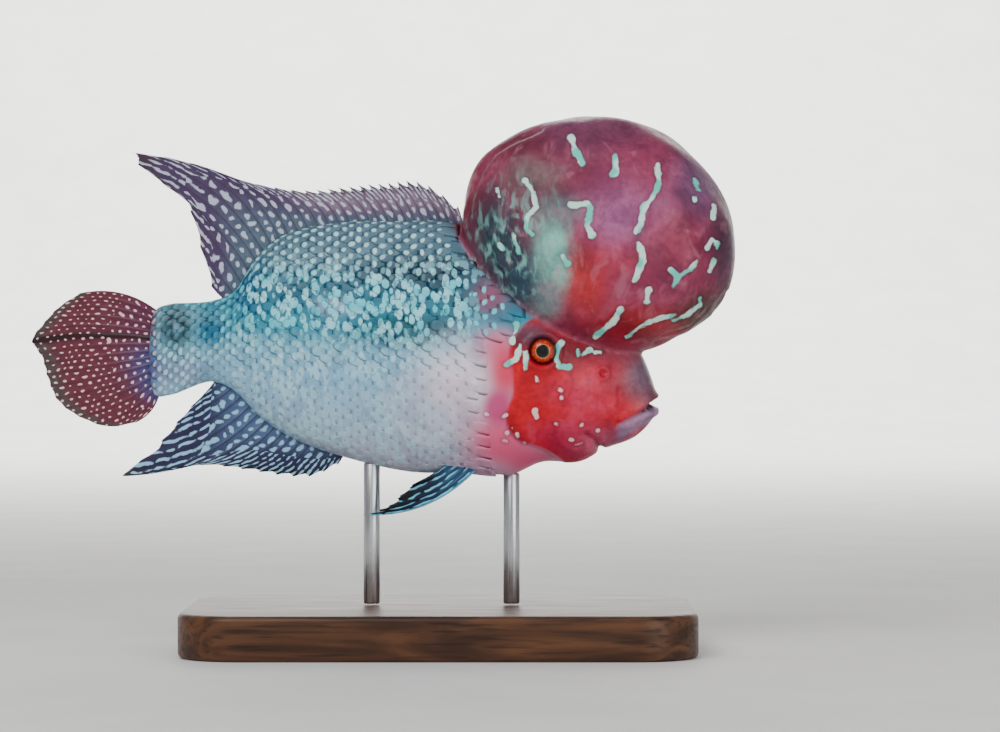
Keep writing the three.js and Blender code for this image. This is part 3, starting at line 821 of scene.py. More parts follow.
skin_mesh = fused_skin()
skin_points = smoothed(skin_mesh, positions(skin_mesh), SKIN_SMOOTHING)
place(skin_mesh, skin_points)
on_hump = smoothstep(*HUMP_EDGE, hump_measure(skin_points)) * smoothstep(*HUMP_LOW, skin_points[:, 2])
relief = head_relief(skin_points) * (1 - HUMP_HIDES * on_hump) + hump_relief(skin_points, on_hump)
relief += crease_relief(skin_points)
skin_points = skin_points + relief[:, None] * normals(skin_mesh)
place(skin_mesh, skin_points)
give_colour(skin_mesh, "tint", fish_colour(skin_points))
give_value(skin_mesh, "mark", mark_distance(skin_points))
give_value(skin_mesh, "hump", on_hump)
give_value(skin_mesh, "cloudy", np.maximum(on_hump, head_share(skin_points)))
give_value(skin_mesh, "rosy", (seen_at(skin_points)[:, 1] > ROSY_BELOW) * (1 - on_hump))
flecked = (seen_at(skin_points) - FLECKED_MIDDLE) / FLECKED_REACH
give_value(skin_mesh, "flecked", on_hump * np.exp(-((flecked**2).sum(axis=1) ** 1.5)))
skin_mesh.shade_smooth()
skin_mesh.materials.clear()
skin_mesh.materials.append(skin_material())
fish_skin = bpy.data.objects.new("fish_skin", skin_mesh)
bpy.context.scene.collection.objects.link(fish_skin)
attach(fish_skin, BODY)
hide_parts("trunk", "head", "lower_jaw", "gill_cover_right", "gill_cover_left", "nuchal_hump")

# The scales
# Rounded overlapping scales in slanting rows cover the trunk, lifted a little at the rear edge,
# with a pale pearl on most. They are smaller and closer towards the tail, and follow the same
# ground colours as the skin under them.
REAR_X = -50.5
REAR_PITCH = 1.95
PITCH_GROWTH = 0.028
ROW_PITCH = 1.2
ROW_SPREAD = ([-50, -38, -20, 14], [0.8, 0.86, 0.98, 1.08])
LENGTH_IN_PITCHES = 1.5
WIDTH_IN_ROWS = 1.12
PEARL_PLACE = 1.2
SCALE_ROWS = 6
SCALE_COLUMNS = 5
ROOT_SINK = 0.02
TIP_LIFT = 0.045
SMOOTH_SHARE = 0.6
BARE_CHEST = (488, 336)
GIRTH_REACH = 34.0
GIRTH_STEPS = 240
ALONG_STEPS = 700
BAKE_PATCH = 0.003
PEARL_WHITE = paint(184, 226, 230)
PEARL_TURQUOISE = paint(92, 208, 226)
PEARL_LILAC = paint(188, 224, 242)
PEARL_ROSE = paint(250, 196, 208)
WORM_WHITE = paint(180, 238, 248)

# The shape of a scale: where along it the rear edge starts to round and how fast, how its lift
# grows, its dome, its depth and its gap to the edge of the flank, in mm.
ROUND_FROM = 0.42
ROUND_REACH = 0.6
LIFT_CURVE = 0.8
DOME_HEIGHT = 0.03
PLATE_DEPTH = 0.16
EDGE_GAP = 0.02
NORMAL_STEP = 0.05

# Parts of the flank in photo pixels: the middle band's row and reach, then where each part starts
# and is full, by column or by row.
BAND_ROW = 305
BAND_REACH = 42
LOWER_ROWS = (340, 370)
REAR_COLUMNS = (300, 220)
CHEST_COLUMNS = (450, 485)
CHEST_ROWS = (345, 375)
EVEN_COLUMNS = (470, 490)
WORMS_FROM = (215, 260)
WORMS_TO = (492, 462)
PEDUNCLE_COLUMNS = (230, 222)
PEDUNCLE_TOP = (300, 308)
PEDUNCLE_FOOT = (352, 340)
LAST_COLUMNS = (172, 158)

# Plainer areas of the flank: middle and reach in photo pixels, and how much plainer.
SMOOTH_AREAS = [(462, 382, 34, 42, 0.7), (352, 402, 34, 26, 0.5), (222, 368, 22, 12, 0.6)]


class Flank:
    """The trunk's surface by x and by distance g round its girth from the mid line, upwards."""

    def __init__(self):
        self.along = np.linspace(0.004, 0.93, ALONG_STEPS)
        turn = np.linspace(-np.pi / 2, np.pi / 2, 361)
        grid = body_point(self.along[:, None], turn[None, :])
        step = np.linalg.norm(np.diff(grid, axis=1), axis=-1)
        girth = np.concatenate([np.zeros((ALONG_STEPS, 1)), np.cumsum(step, axis=1)], axis=1)
        girth -= girth[:, 180:181]
        self.low, self.high = girth[:, 0], girth[:, -1]
        self.middle_x = grid[:, 180, 0]
        self.g = np.linspace(-GIRTH_REACH, GIRTH_REACH, GIRTH_STEPS)
        self.turn = np.stack([np.interp(self.g, row, turn) for row in girth])

    def at(self, x, g):
        """Section place and turn, by a straight blend between the nearest rows of the table."""
        i = np.clip(np.interp(x, self.middle_x, np.arange(ALONG_STEPS)), 0, ALONG_STEPS - 1.001)
        j = np.clip((g + GIRTH_REACH) / (2 * GIRTH_REACH) * (GIRTH_STEPS - 1), 0, GIRTH_STEPS - 1.001)
        i0, j0 = i.astype(int), j.astype(int)
        a, b = i - i0, j - j0
        turn = ((1 - a) * (1 - b) * self.turn[i0, j0] + a * (1 - b) * self.turn[i0 + 1, j0]
                + (1 - a) * b * self.turn[i0, j0 + 1] + a * b * self.turn[i0 + 1, j0 + 1])
        along = np.interp(i, np.arange(ALONG_STEPS), self.along)
        return along, turn

    def point(self, x, g):
        along, turn = self.at(x, g)
        return body_point(along, turn)

    def limits(self, x):
        return np.interp(x, self.middle_x, self.low), np.interp(x, self.middle_x, self.high)


def scale_roots(flank_table, rng):
    """Roots and pitches of all scales on one side, inside the trunk. Column c starts at
    REAR_X + REAR_PITCH c + PITCH_GROWTH c squared, and odd rows are shifted by half a column."""
    rows = np.arange(-30, 31)
    columns = np.arange(0, 28)
    row, column = np.meshgrid(rows, columns, indexing="ij")
    column = column + 0.5 * (row % 2)
    x = REAR_X + REAR_PITCH * column + PITCH_GROWTH * column**2 + rng.normal(0, 0.07, row.shape)
    g = row * ROW_PITCH * np.interp(x, *ROW_SPREAD) + rng.normal(0, 0.07, row.shape)
    pitch = (REAR_PITCH + 2 * PITCH_GROWTH * column).ravel()
    x, g = x.ravel(), g.ravel()
    low, high = flank_table.limits(x)
    points = flank_table.point(x, g)
    ahead, _ = line_offset(GILL_EDGE, points)
    pixels = seen_at(points)
    base = np.linalg.norm((pixels - PECTORAL_BASE) / PECTORAL_BASE_REACH, axis=1)
    kept = ((g > low + 0.3) & (g < high - 0.3) & (ahead < -0.3 - 0.5 * pitch)
            & (hump_measure(points) > 1.03) & (base > 1.0) & ~(pixels > BARE_CHEST).all(axis=1))
    return x[kept], g[kept], pitch[kept], points[kept]


def pearl_looks(points, rng):
    """Per scale: pearl colour, its half length and half width in mm, its slant, how far it runs
    into worm lines, and how plain the scale is. Round dots on the back and long slanting ones
    near the tail, turquoise worms along the middle, faint flecks below, few on the chest."""
    x_px, y_px = seen_at(points).T
    count = len(points)
    middle = np.exp(-(((y_px - BAND_ROW) / BAND_REACH) ** 4))
    lower = smoothstep(*LOWER_ROWS, y_px)
    rear = smoothstep(*REAR_COLUMNS, x_px) * (1 - lower)
    chest = smoothstep(*CHEST_COLUMNS, x_px) * smoothstep(*CHEST_ROWS, y_px)
    colour = PEARL_WHITE + middle[:, None] * (PEARL_TURQUOISE - PEARL_WHITE)
    colour = colour + lower[:, None] * (PEARL_LILAC - colour)
    colour = colour + chest[:, None] * (PEARL_ROSE - colour)
    colour = colour * rng.uniform(0.8, 1.12, count)[:, None]
    length = (0.6 + 0.16 * rear + 0.08 * middle - 0.25 * chest) * rng.uniform(0.75, 1.25, count)
    width = (0.46 - 0.06 * rear - 0.2 * chest) * rng.uniform(0.8, 1.2, count)
    slant = rng.normal(-1.0, 0.35, count)
    worms = np.clip(middle + 0.75 * lower * (1 - chest), 0, 1)
    worms = worms * smoothstep(*WORMS_FROM, x_px) * smoothstep(*WORMS_TO, x_px)
    smooth = sum(share * np.exp(-(((x_px - px) / reach_x) ** 2 + ((y_px - py) / reach_y) ** 2))
                 for px, py, reach_x, reach_y, share in SMOOTH_AREAS)
    bare = chest * (rng.uniform(0, 1, count) < 0.45)
    tail_root = (smoothstep(*PEDUNCLE_COLUMNS, x_px) * smoothstep(*PEDUNCLE_FOOT, y_px)
                 * smoothstep(*PEDUNCLE_TOP, y_px))
    last = smoothstep(*LAST_COLUMNS, x_px)
    colour = colour + last[:, None] * (0.7 * PEARL_ROSE - colour)
    plain = 0.25 * lower + smooth + bare + 0.85 * tail_root * (1 - last) + rng.normal(0, 0.08, count)
    return (np.clip(colour, 0, 1), length * (1 - 0.4 * last), width * (1 - 0.4 * last), slant, worms,
            np.clip(plain, 0, 0.95))


def scale_coat(name, side, seed):
    """One side's scales as one mesh: each a domed plate of 6 x 5 points, sunk at its root and lifted
    at its rear edge, closed below by a fan; side is -1 for the right and 1 for the left."""
    rng = np.random.default_rng(seed)
    table = Flank()
    x0, g0, pitch, roots = scale_roots(table, rng)
    count = len(x0)
    t = np.linspace(0, 1, SCALE_ROWS)
    s = np.linspace(-1, 1, SCALE_COLUMNS)
    outline = np.sqrt(np.clip(1 - (np.clip(t - ROUND_FROM, 0, None) / ROUND_REACH) ** 2, 0, 1))
    length = LENGTH_IN_PITCHES * pitch[:, None, None]
    half_width = WIDTH_IN_ROWS * ROW_PITCH * np.interp(x0, *ROW_SPREAD)[:, None, None]
    local_x = length * np.broadcast_to(t[None, :, None], (count, SCALE_ROWS, SCALE_COLUMNS))
    local_g = half_width * (outline[:, None] * s[None, :])[None]
    dome = (1 - s[None, :] ** 2) * np.sin(np.pi * t)[:, None]
    pearl, long, wide, slant, worms, plain = pearl_looks(roots, rng)
    x_px, y_px = seen_at(roots).T
    even = np.maximum(smoothstep(*CHEST_ROWS, y_px), smoothstep(*EVEN_COLUMNS, x_px))
    tip = TIP_LIFT * (1 - SMOOTH_SHARE * even) * rng.uniform(0.85, 1.15, count)
    raised = (tip[:, None, None] + ROOT_SINK) * t[None, :, None] ** LIFT_CURVE
    lift = -ROOT_SINK + raised + DOME_HEIGHT * dome[None]
    x = (x0 + 0.5 * pitch)[:, None, None] - local_x
    g = g0[:, None, None] + local_g
    low, high = table.limits(x)
    g = np.clip(g, low + EDGE_GAP, high - EDGE_GAP)
    surface = table.point(x, g)
    down_x = table.point(x + NORMAL_STEP, g) - surface
    up_g = table.point(x, g + NORMAL_STEP) - surface
    out = np.cross(down_x, up_g)
    out /= np.linalg.norm(out, axis=-1, keepdims=True) + 1e-12
    out *= np.where(out[..., 1:2] > 0, -1.0, 1.0)
    top = surface + out * lift[..., None]
    heart = (slice(None), SCALE_ROWS // 2, SCALE_COLUMNS // 2)
    under = top[heart] - PLATE_DEPTH * out[heart]
    points = np.concatenate([top.reshape(count, -1, 3), under[:, None]], axis=1)
    points[..., 1] *= -side
    each = points.shape[1]
    grid = np.arange(SCALE_ROWS * SCALE_COLUMNS).reshape(SCALE_ROWS, SCALE_COLUMNS)
    rim = np.concatenate([grid[0, :-1], grid[:-1, -1], grid[-1, :0:-1], grid[:0:-1, 0]])
    fan = np.stack([np.full(len(rim), each - 1), rim, np.roll(rim, -1)], axis=-1)
    faces = np.concatenate([halved(grid_faces(SCALE_ROWS, SCALE_COLUMNS)), fan])
    if side > 0:
        faces = faces[:, ::-1]
    faces = (faces[None] + each * np.arange(count)[:, None, None]).reshape(-1, 3)
    piece = mesh_object(name, points.reshape(-1, 3), faces, smooth=False)
    mesh = piece.data
    give_colour(mesh, "tint", fish_colour(points.reshape(-1, 3)))
    give_colour(mesh, "pearl", np.repeat(pearl, each, axis=0))
    give_value(mesh, "worms", np.repeat(worms, each))
    give_value(mesh, "plain", np.repeat(plain, each))
    from_pearl = local_x - PEARL_PLACE * pitch[:, None, None]
    sideways = np.broadcast_to(local_g, local_x.shape)
    u, v = (np.concatenate([way.reshape(count, -1), np.zeros((count, 1))], axis=1)
            for way in (from_pearl, sideways))
    across = (u * np.cos(slant)[:, None] + v * np.sin(slant)[:, None]) / long[:, None]
    beside = (-u * np.sin(slant)[:, None] + v * np.cos(slant)[:, None]) / wide[:, None]
    corners = faces.ravel()
    give_map(mesh, "PearlMap", np.stack([across, beside], axis=-1), corners)
    along, turn = table.at(x0, g0)
    middle = np.stack([turn / (2 * np.pi) + 0.5, along], axis=-1)
    spread = np.stack([v, u], axis=-1) / length.reshape(count, 1, 1) * BAKE_PATCH
    give_map(mesh, "OFBake", middle[:, None] + spread, corners)
    return piece


def scale_material():
    """Thin horny scales: the ground colour in soft clouds, and a soft-edged pearly spot that
    shines more than the rest. Along the fish's middle the spots don't keep to the scales: they are
    packed upright dots round scattered points, and run together into worm lines where they touch."""
    shader = Shader("pearl scales", Coat_Weight=0.14, Coat_Roughness=0.14, Specular_IOR_Level=0.25)
    where = shader.place()
    fine = shader.noise(where, 1000, 3.0, 0.4)
    clouds = shader.range(shader.noise(where, 260, 4.0, 0.6), 0.4, 0.66, 0.0, 0.4)
    ground = shader.attribute("tint", "Color")
    mottled = shader.mix(clouds, ground, (0.45, 0.5, 0.55), "MULTIPLY")
    spot = shader.node("ShaderNodeUVMap", uv_map="PearlMap").outputs[0]
    away = shader.node("ShaderNodeVectorMath", operation="LENGTH")
    shader.link(spot, away.inputs[0])
    ragged = shader.maths("ADD", away.outputs["Value"], shader.range(fine, 0.3, 0.7, -0.2, 0.2))
    pearl = shader.range(ragged, 1.2, 0.65)
    wander = shader.range(shader.noise(where, 300, 1.0), 0.3, 0.7, -0.1, 0.1)
    dots = shader.maths("ADD", shader.from_seed(shader.place((1.15, 1.0, 0.68)), 760), wander)
    worm = shader.range(dots, 0.57, 0.45)
    worms = shader.attribute("worms")
    own = shader.times(pearl, shader.maths("SUBTRACT", 1.0, worms))
    inside = shader.maths("ADD", shader.times(worm, worms), own)
    inside = shader.times(inside, shader.maths("SUBTRACT", 1.0, shader.attribute("plain")))
    whiter = shader.times(shader.range(shader.noise(where, 330, 1.0), 0.36, 0.64, 0.0, 0.7), worms)
    pearl_tone = shader.mix(whiter, shader.attribute("pearl", "Color"), WORM_WHITE)
    shader.feed("Base Color", shader.mix(inside, mottled, pearl_tone))
    shader.feed("Roughness", shader.range(inside, 0.0, 1.0, 0.46, 0.32))
    shader.bump(inside, 0.00006, 0.3)
    return shader.material


scale_look = scale_material()
for side_name, side, seed in (("right", -1, 11), ("left", 1, 12)):
    coat = scale_coat(f"scales_{side_name}", side, seed)
    coat.data.materials.append(scale_look)
    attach(coat, BODY)

# The fins
# Each fin is a thin membrane on tapering rays. The front rays of the dorsal and anal fins are
# plain spines with free tips, the others are soft and fork towards the edge.
ROOT_DEPTH = 1.6
RAY_HALF = (0.42, 0.13)
WEB_HALF = (0.16, 0.07)
CELLS_PER_RAY = 6
FIN_ROWS = 44


def fin_grid(spec, root, sway):
    """Points of a fin's middle sheet and its half thickness. Along each ray the sheet runs from the
    root line to the edge line, bowed; the web between rays stops short of their tips."""
    edge, bow = np.array(spec["edge"]), np.array(spec["bow"])
    rays = spec["rays"]
    u = np.linspace(0, 1, (rays - 1) * CELLS_PER_RAY + 1)[:, None]
    v = np.linspace(0, 1, FIN_ROWS)[None, :]
    ray = u * (rays - 1)
    off = np.abs(ray - np.round(ray))
    root_points = root(u[:, 0])
    edge_points = through(edge[:, 0], edge[:, 1:], u[:, 0])
    span = edge_points - root_points
    length = np.linalg.norm(span, axis=1)[:, None]
    web = (2 * off) ** 0.6
    reach = v * (1 - web * spec["notch"] / length)
    bend = 4 * through(bow[:, 0], bow[:, 1:], u[:, 0]) * reach * (1 - reach)
    x = root_points[:, :1] + reach * span[:, :1] - bend * span[:, 1:]
    z = root_points[:, 1:] + reach * span[:, 1:] + bend * span[:, :1]
    y = sway(u, reach, x, z)
    fork = 0.2 * smoothstep(0.4, 1.0, v) * (u >= spec["soft_from"])
    ridge = np.exp(-(((off - fork) / 0.13) ** 2))
    half_ray = RAY_HALF[0] + (RAY_HALF[1] - RAY_HALF[0]) * v
    half_web = WEB_HALF[0] + (WEB_HALF[1] - WEB_HALF[0]) * v
    half = half_web + (half_ray - half_web) * ridge
    return np.stack([x, y, z], axis=-1), half, ray + 0 * v, reach * length


def fin_piece(name, spec, root, sway, node):
    """A closed sheet: both faces split alike and joined round their rim, with a map that counts
    rays across and pale spots outwards."""
    middle, half, ray, distance = fin_grid(spec, root, sway)
    columns, rows = half.shape
    out = np.zeros_like(middle)
    out[..., 1] = half
    near, far = middle - out, middle + out
    one_side = halved(grid_faces(columns, rows))
    total = columns * rows
    index = np.arange(total).reshape(columns, rows)
    rim = np.concatenate([index[:-1, 0], index[-1, :-1], index[:0:-1, -1], index[0, :0:-1]])
    after = np.roll(rim, -1)
    wall = np.concatenate([
        np.stack([rim, after, after + total], axis=-1),
        np.stack([rim, after + total, rim + total], axis=-1),
    ])
    faces = np.concatenate([one_side[:, ::-1], one_side + total, wall])
    points = np.concatenate([near.reshape(-1, 3), far.reshape(-1, 3)])
    corner = points[faces]
    volume = np.einsum("ij,ij->i", corner[:, 0], np.cross(corner[:, 1], corner[:, 2])).sum()
    if volume < 0:
        faces = faces[:, ::-1]
    piece = mesh_object(name, points, faces)
    mesh = piece.data
    mesh.polygons.foreach_set("use_smooth", np.arange(len(faces)) < 2 * len(one_side))
    uv = np.stack([ray, np.interp(distance, *spec["spots"])], axis=-1)
    give_map(mesh, "RayMap", np.concatenate([uv, uv]), faces.ravel())
    outer = (distance / distance.max(axis=1, keepdims=True)).ravel()
    give_value(mesh, "outer", np.concatenate([outer, outer]))
    tint = spec["tint"](outer, ray.ravel())
    give_colour(mesh, "tint", np.concatenate([tint, tint]))
    mesh.materials.append(spec["look"])
    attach(piece, BODY)
    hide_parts(node)


# A share of the way out that no fin reaches.
NEVER = 9.0


def fin_material(name, spot, ray_tone, spot_half, streaks, fork=NEVER, **constants):
    """Membrane in its painted ground colour, with one column of pale oval spots between each two
    rays, two beyond the fork, staggered from column to column and drawn out into streaks towards
    the edge. spot_half is a spot's half size across and along in steps of the map; streaks is where
    they start and end, and fork where the rays part, as shares of the way out."""
    shader = Shader(name, Coat_Weight=0.1, Coat_Roughness=0.2, Specular_IOR_Level=0.25, **constants)
    where = shader.place()
    fine = shader.noise(where, 900, 3.0, 0.4)
    wobble = shader.range(shader.noise(where, 260, 1.0), 0.3, 0.7, -0.3, 0.3)
    size = shader.range(shader.noise(where, 420, 1.0), 0.35, 0.65, 0.78, 1.15)
    ground = shader.attribute("tint", "Color")
    mottled = shader.mix(shader.range(fine, 0.3, 0.7, 0.0, 0.5), ground, (0.5, 0.46, 0.52), "MULTIPLY")
    split = shader.node("ShaderNodeSeparateXYZ")
    shader.link(shader.node("ShaderNodeUVMap", uv_map="RayMap").outputs[0], split.inputs[0])
    between = shader.maths("ABSOLUTE", shader.maths("SUBTRACT", shader.maths("FRACT", split.outputs[0]), 0.5))
    outer = shader.attribute("outer")
    forked = shader.maths("ADD", 1.0, shader.maths("GREATER_THAN", outer, fork))
    column, outwards = shader.maths("MULTIPLY", split.outputs[0], forked), split.outputs[1]
    aside = shader.range(shader.noise(where, 380, 1.0), 0.3, 0.7, 0.36, 0.64)
    across = shader.maths("ABSOLUTE", shader.maths("SUBTRACT", shader.maths("FRACT", column), aside))
    stagger = shader.maths("MULTIPLY", shader.maths("MODULO", shader.maths("FLOOR", column), 2.0), 0.5)
    step = shader.maths("FRACT", shader.maths("ADD", outwards, shader.maths("ADD", stagger, wobble)))
    along = shader.maths("ABSOLUTE", shader.maths("SUBTRACT", step, 0.5))
    half_along = shader.range(outer, streaks[0], streaks[1], spot_half[1], 0.47)
    oval = shader.node("ShaderNodeCombineXYZ")
    shader.link(shader.maths("DIVIDE", across, spot_half[0]), oval.inputs[0])
    shader.link(shader.maths("DIVIDE", along, half_along), oval.inputs[1])
    away = shader.node("ShaderNodeVectorMath", operation="LENGTH")
    shader.link(oval.outputs[0], away.inputs[0])
    sized = shader.maths("DIVIDE", away.outputs["Value"], size)
    ragged = shader.maths("ADD", sized, shader.range(fine, 0.3, 0.7, -0.22, 0.22))
    inside = shader.range(ragged, 1.15, 0.7)
    on_ray = shader.times(shader.range(between, 0.36, 0.48), ray_tone[1])
    toned = shader.mix(on_ray, mottled, ray_tone[0])
    shader.feed("Base Color", shader.mix(inside, toned, spot))
    shader.feed("Roughness", shader.range(inside, 0.0, 1.0, 0.46, 0.34))
    shader.bump(shader.maths("ADD", fine, inside), 0.00006, 0.4)
    return shader.material


def plain_wave(size, turns):
    """A sway to the side that grows with the square of the way out."""
    return lambda u, v, x, z: size * v**2 * np.sin(2 * np.pi * turns * u)


def profile_height(x, back):
    """Height of the back or the belly line at x."""
    along = np.linspace(0, 1, 2000)
    line = through(SECTION_PLACES, BODY_SECTIONS, along)
    columns = (0, 1) if back else (2, 3)
    return np.interp(x, line[:, columns[0]], line[:, columns[1]])


def profile_root(base, back):
    """Root points of a fin along the back or belly, sunk into the body."""
    base = np.array(base)

    def root(u):
        x = through(base[:, 0], base[:, 1:], u)[:, 0]
        z = profile_height(x, back) + (-ROOT_DEPTH if back else ROOT_DEPTH)
        return np.stack([x, z], axis=-1)

    return root


ALL_RAYS = (-9, 99, 1)


def banded_tint(inner, outer_tone, *washes):
    """A fin's ground colour from root to edge with washes over it. Each wash is a colour, its first
    and last ray with the rays over which it fades, and where it starts and is full on the way out."""
    def tint(outer, ray):
        colour = inner + smoothstep(0.05, 0.6, outer)[:, None] * (outer_tone - inner)
        for tone, (first, last, fade), (start, full) in washes:
            share = smoothstep(first - fade, first, ray) * smoothstep(last + fade, last, ray)
            colour = colour + (share * smoothstep(start, full, outer))[:, None] * (tone - colour)
        return colour

    return tint


dorsal = {
    "base": [[0, 4.5], [0.1, 1.0], [0.4, -12.0], [0.55, -19.5], [0.7, -27.0], [0.85, -33.0], [1, -38.2]],
    "edge": [
        [0, 3.2, 80.6], [0.08, -2.6, 84.6], [0.25, -10.9, 84.7], [0.4, -18.2, 84.0], [0.55, -27.0, 83.6],
        [0.66, -36.4, 85.3], [0.76, -47.3, 88.9], [0.83, -56.4, 89.9], [0.875, -51.8, 85.4],
        [0.91, -46.6, 81.8], [0.95, -44.4, 75.6], [1, -41.6, 66.0],
    ],
    "bow": [[0, -0.04], [0.83, -0.1], [1, 0.05]],
    "rays": 28,
    "soft_from": 0.6,
    "notch": 1.6,
    "spots": ([0, 11, 15, 32], [0, 5.5, 7, 11]),
    "tint": banded_tint(paint(84, 106, 124), paint(76, 58, 94),
                        (paint(134, 112, 134), (-9, 13, 6), (0.2, 0.6)),
                        (paint(72, 52, 70), ALL_RAYS, (0.8, 1.0))),
    "look": fin_material("dorsal membrane", paint(184, 188, 206), (paint(58, 44, 66), 0.6),
                         spot_half=(0.22, 0.3), streaks=(0.45, 0.65), fork=0.68),
}
dorsal_root = profile_root(dorsal["base"], back=True)
fin_piece("dorsal_fin_rays", dorsal, dorsal_root, plain_wave(0.7, 2.5), "dorsal_fin")

anal = {
    "base": [[0, -17.0], [0.5, -28.5], [1, -39.8]],
    "edge": [
        [0, -18.6, 33.5], [0.12, -23.3, 31.4], [0.26, -29.5, 31.6], [0.4, -36.0, 32.7], [0.55, -44.6, 33.4],
        [0.68, -58.2, 31.6], [0.75, -53.0, 35.4], [0.84, -49.0, 40.0], [0.92, -45.8, 43.6], [1, -42.4, 46.8],
    ],
    "bow": [[0, 0.04], [0.68, 0.1], [1, -0.03]],
    "rays": 16,
    "soft_from": 0.45,
    "notch": 0.9,
    "spots": ([0, 8, 13, 28], [0, 4.6, 6.4, 10]),
    "tint": banded_tint(paint(80, 104, 142), paint(40, 38, 74), (paint(6, 6, 12), (0, 10, 1), (0.7, 1.0))),
    "look": fin_material("anal membrane", paint(144, 194, 222), (paint(34, 30, 60), 0.6),
                         spot_half=(0.23, 0.32), streaks=(0.25, 0.5), fork=0.48),
}
anal_root = profile_root(anal["base"], back=False)
fin_piece("anal_fin_rays", anal, anal_root, plain_wave(0.6, 1.5), "anal_fin")

TAIL_TOP = np.array([-51.0, 61.2])
TAIL_BOTTOM = np.array([-51.0, 46.4])


def straight_root(first, last):
    """Root points of a fin on a straight line."""
    return lambda u: first + u[:, None] * (last - first)


tail = {
    "edge": [
        [0, -65.5, 64.7], [0.1, -69.3, 62.3], [0.22, -72.5, 59.0], [0.33, -74.5, 56.0], [0.42, -72.8, 53.2],
        [0.55, -71.7, 49.4], [0.68, -69.8, 45.2], [0.8, -65.8, 42.2], [0.9, -60.5, 40.4], [1, -55.2, 41.2],
    ],
    "bow": [[0, -0.12], [1, 0.12]],
    "rays": 16,
    "soft_from": 0.0,
    "notch": 0.25,
    "spots": ([0, 24], [0, 15]),
    "tint": banded_tint(paint(98, 42, 72), paint(104, 44, 58), (paint(72, 68, 122), (8, 20, 3), (0.4, 0.1)),
                        (paint(80, 70, 68), ALL_RAYS, (0.82, 0.97)),
                        (paint(34, 8, 16), (4.9, 5.1, 0.4), (-1, 0))),
    "look": fin_material("tail membrane", paint(236, 196, 202), (paint(72, 24, 36), 0.4),
                         spot_half=(0.18, 0.19), streaks=(NEVER, NEVER + 1), fork=0.42),
}
tail_root = straight_root(TAIL_TOP, TAIL_BOTTOM)
fin_piece("caudal_fin_rays", tail, tail_root, plain_wave(2.2, 0.5), "caudal_fin")

PELVIC_FRONT = np.array([6.6, 32.6])
PELVIC_REAR = np.array([1.6, 34.0])
PELVIC_SIDE = 3.4
PELVIC_SPLAY = 2.6
pelvic = {
    "edge": [
        [0, -14.2, 24.7], [0.2, -12.6, 24.9], [0.4, -9.6, 25.8], [0.6, -7.6, 27.6], [0.8, -5.4, 29.6],
        [1, -2.4, 31.0],
    ],
    "bow": [[0, 0.12], [1, 0]],
    "rays": 6,
    "soft_from": 0.15,
    "notch": 1.2,
    "spots": ([0, 22], [0, 5]),
    "tint": banded_tint(paint(34, 84, 122), paint(10, 26, 56), (paint(4, 6, 12), ALL_RAYS, (0.55, 1.0)),
                        (paint(90, 186, 214), (-1, 0, 0.5), (0.95, 0.7))),
    "look": fin_material("pelvic membrane", paint(104, 196, 224), (paint(6, 14, 34), 0.7),
                         spot_half=(0.18, 0.34), streaks=(0.1, 0.3)),
}
pectoral = {
    "edge": [[0, -6.5, 51.0], [0.25, -9.6, 47.6], [0.5, -10.2, 43.6], [0.75, -7.6, 39.6], [1, -1.6, 36.6]],
    "bow": [[0, -0.05], [1, 0.08]],
    "rays": 12,
    "soft_from": 0.0,
    "notch": 0.6,
    "spots": ([0, 20], [0, 4]),
    "tint": banded_tint(paint(224, 150, 180), paint(232, 214, 228)),
    "look": fin_material("pectoral membrane", paint(240, 226, 236), (paint(246, 234, 240), 0.5),
                         spot_half=(0.05, 0.1), streaks=(NEVER, NEVER + 1), Alpha=0.09),
}
PECTORAL_UPPER = np.array([10.4, 46.4])
PECTORAL_LOWER = np.array([10.0, 42.0])
PECTORAL_SINK = 1.3
PECTORAL_FLARE = 5.6
for side_name, side in (("right", -1), ("left", 1)):
    fin_piece(
        f"pelvic_fin_{side_name}_rays", pelvic, straight_root(PELVIC_FRONT, PELVIC_REAR),
        lambda u, v, x, z: side * (PELVIC_SIDE + PELVIC_SPLAY * v), f"pelvic_fin_{side_name}",
    )
    fin_piece(
        f"pectoral_fin_{side_name}_rays", pectoral, straight_root(PECTORAL_UPPER, PECTORAL_LOWER),
        lambda u, v, x, z: side * (flank(x, z) - PECTORAL_SINK + PECTORAL_FLARE * v),
        f"pectoral_fin_{side_name}",
    )

# The eyes
# A round eye with a black pupil in an orange-red iris and a dark rim, under a clear wet surface.
PUPIL_RADIUS = 1.15
IRIS_RADIUS = 2.2


def eye_material():
    """Colour by distance from the eye's own axis, with fine spokes in the iris."""
    shader = Shader("eye", Coat_Weight=0.5, Coat_Roughness=0.03, Roughness=0.4, Specular_IOR_Level=0.2)
    away = shader.attribute("from_axis")
    fine = shader.noise(shader.place((1, 0.2, 1)), 2500, 3.0, 0.5)
    iris = shader.mix(shader.range(fine, 0.35, 0.65), paint(168, 28, 12), paint(204, 74, 24))
    iris = shader.mix(shader.range(away, IRIS_RADIUS - 0.6, IRIS_RADIUS), iris, paint(84, 10, 14))
    ring = shader.mix(shader.range(away, PUPIL_RADIUS + 0.22, PUPIL_RADIUS + 0.1), iris, paint(204, 132, 58))
    pupil_edge = shader.range(away, PUPIL_RADIUS + 0.08, PUPIL_RADIUS - 0.02)
    pupil = shader.mix(pupil_edge, ring, (0.002, 0.002, 0.003))
    rim = shader.mix(shader.range(away, IRIS_RADIUS, IRIS_RADIUS + 0.2), pupil, paint(26, 24, 34))
    shader.feed("Base Color", rim)
    shader.bump(fine, 0.00005, 0.3)
    return shader.material


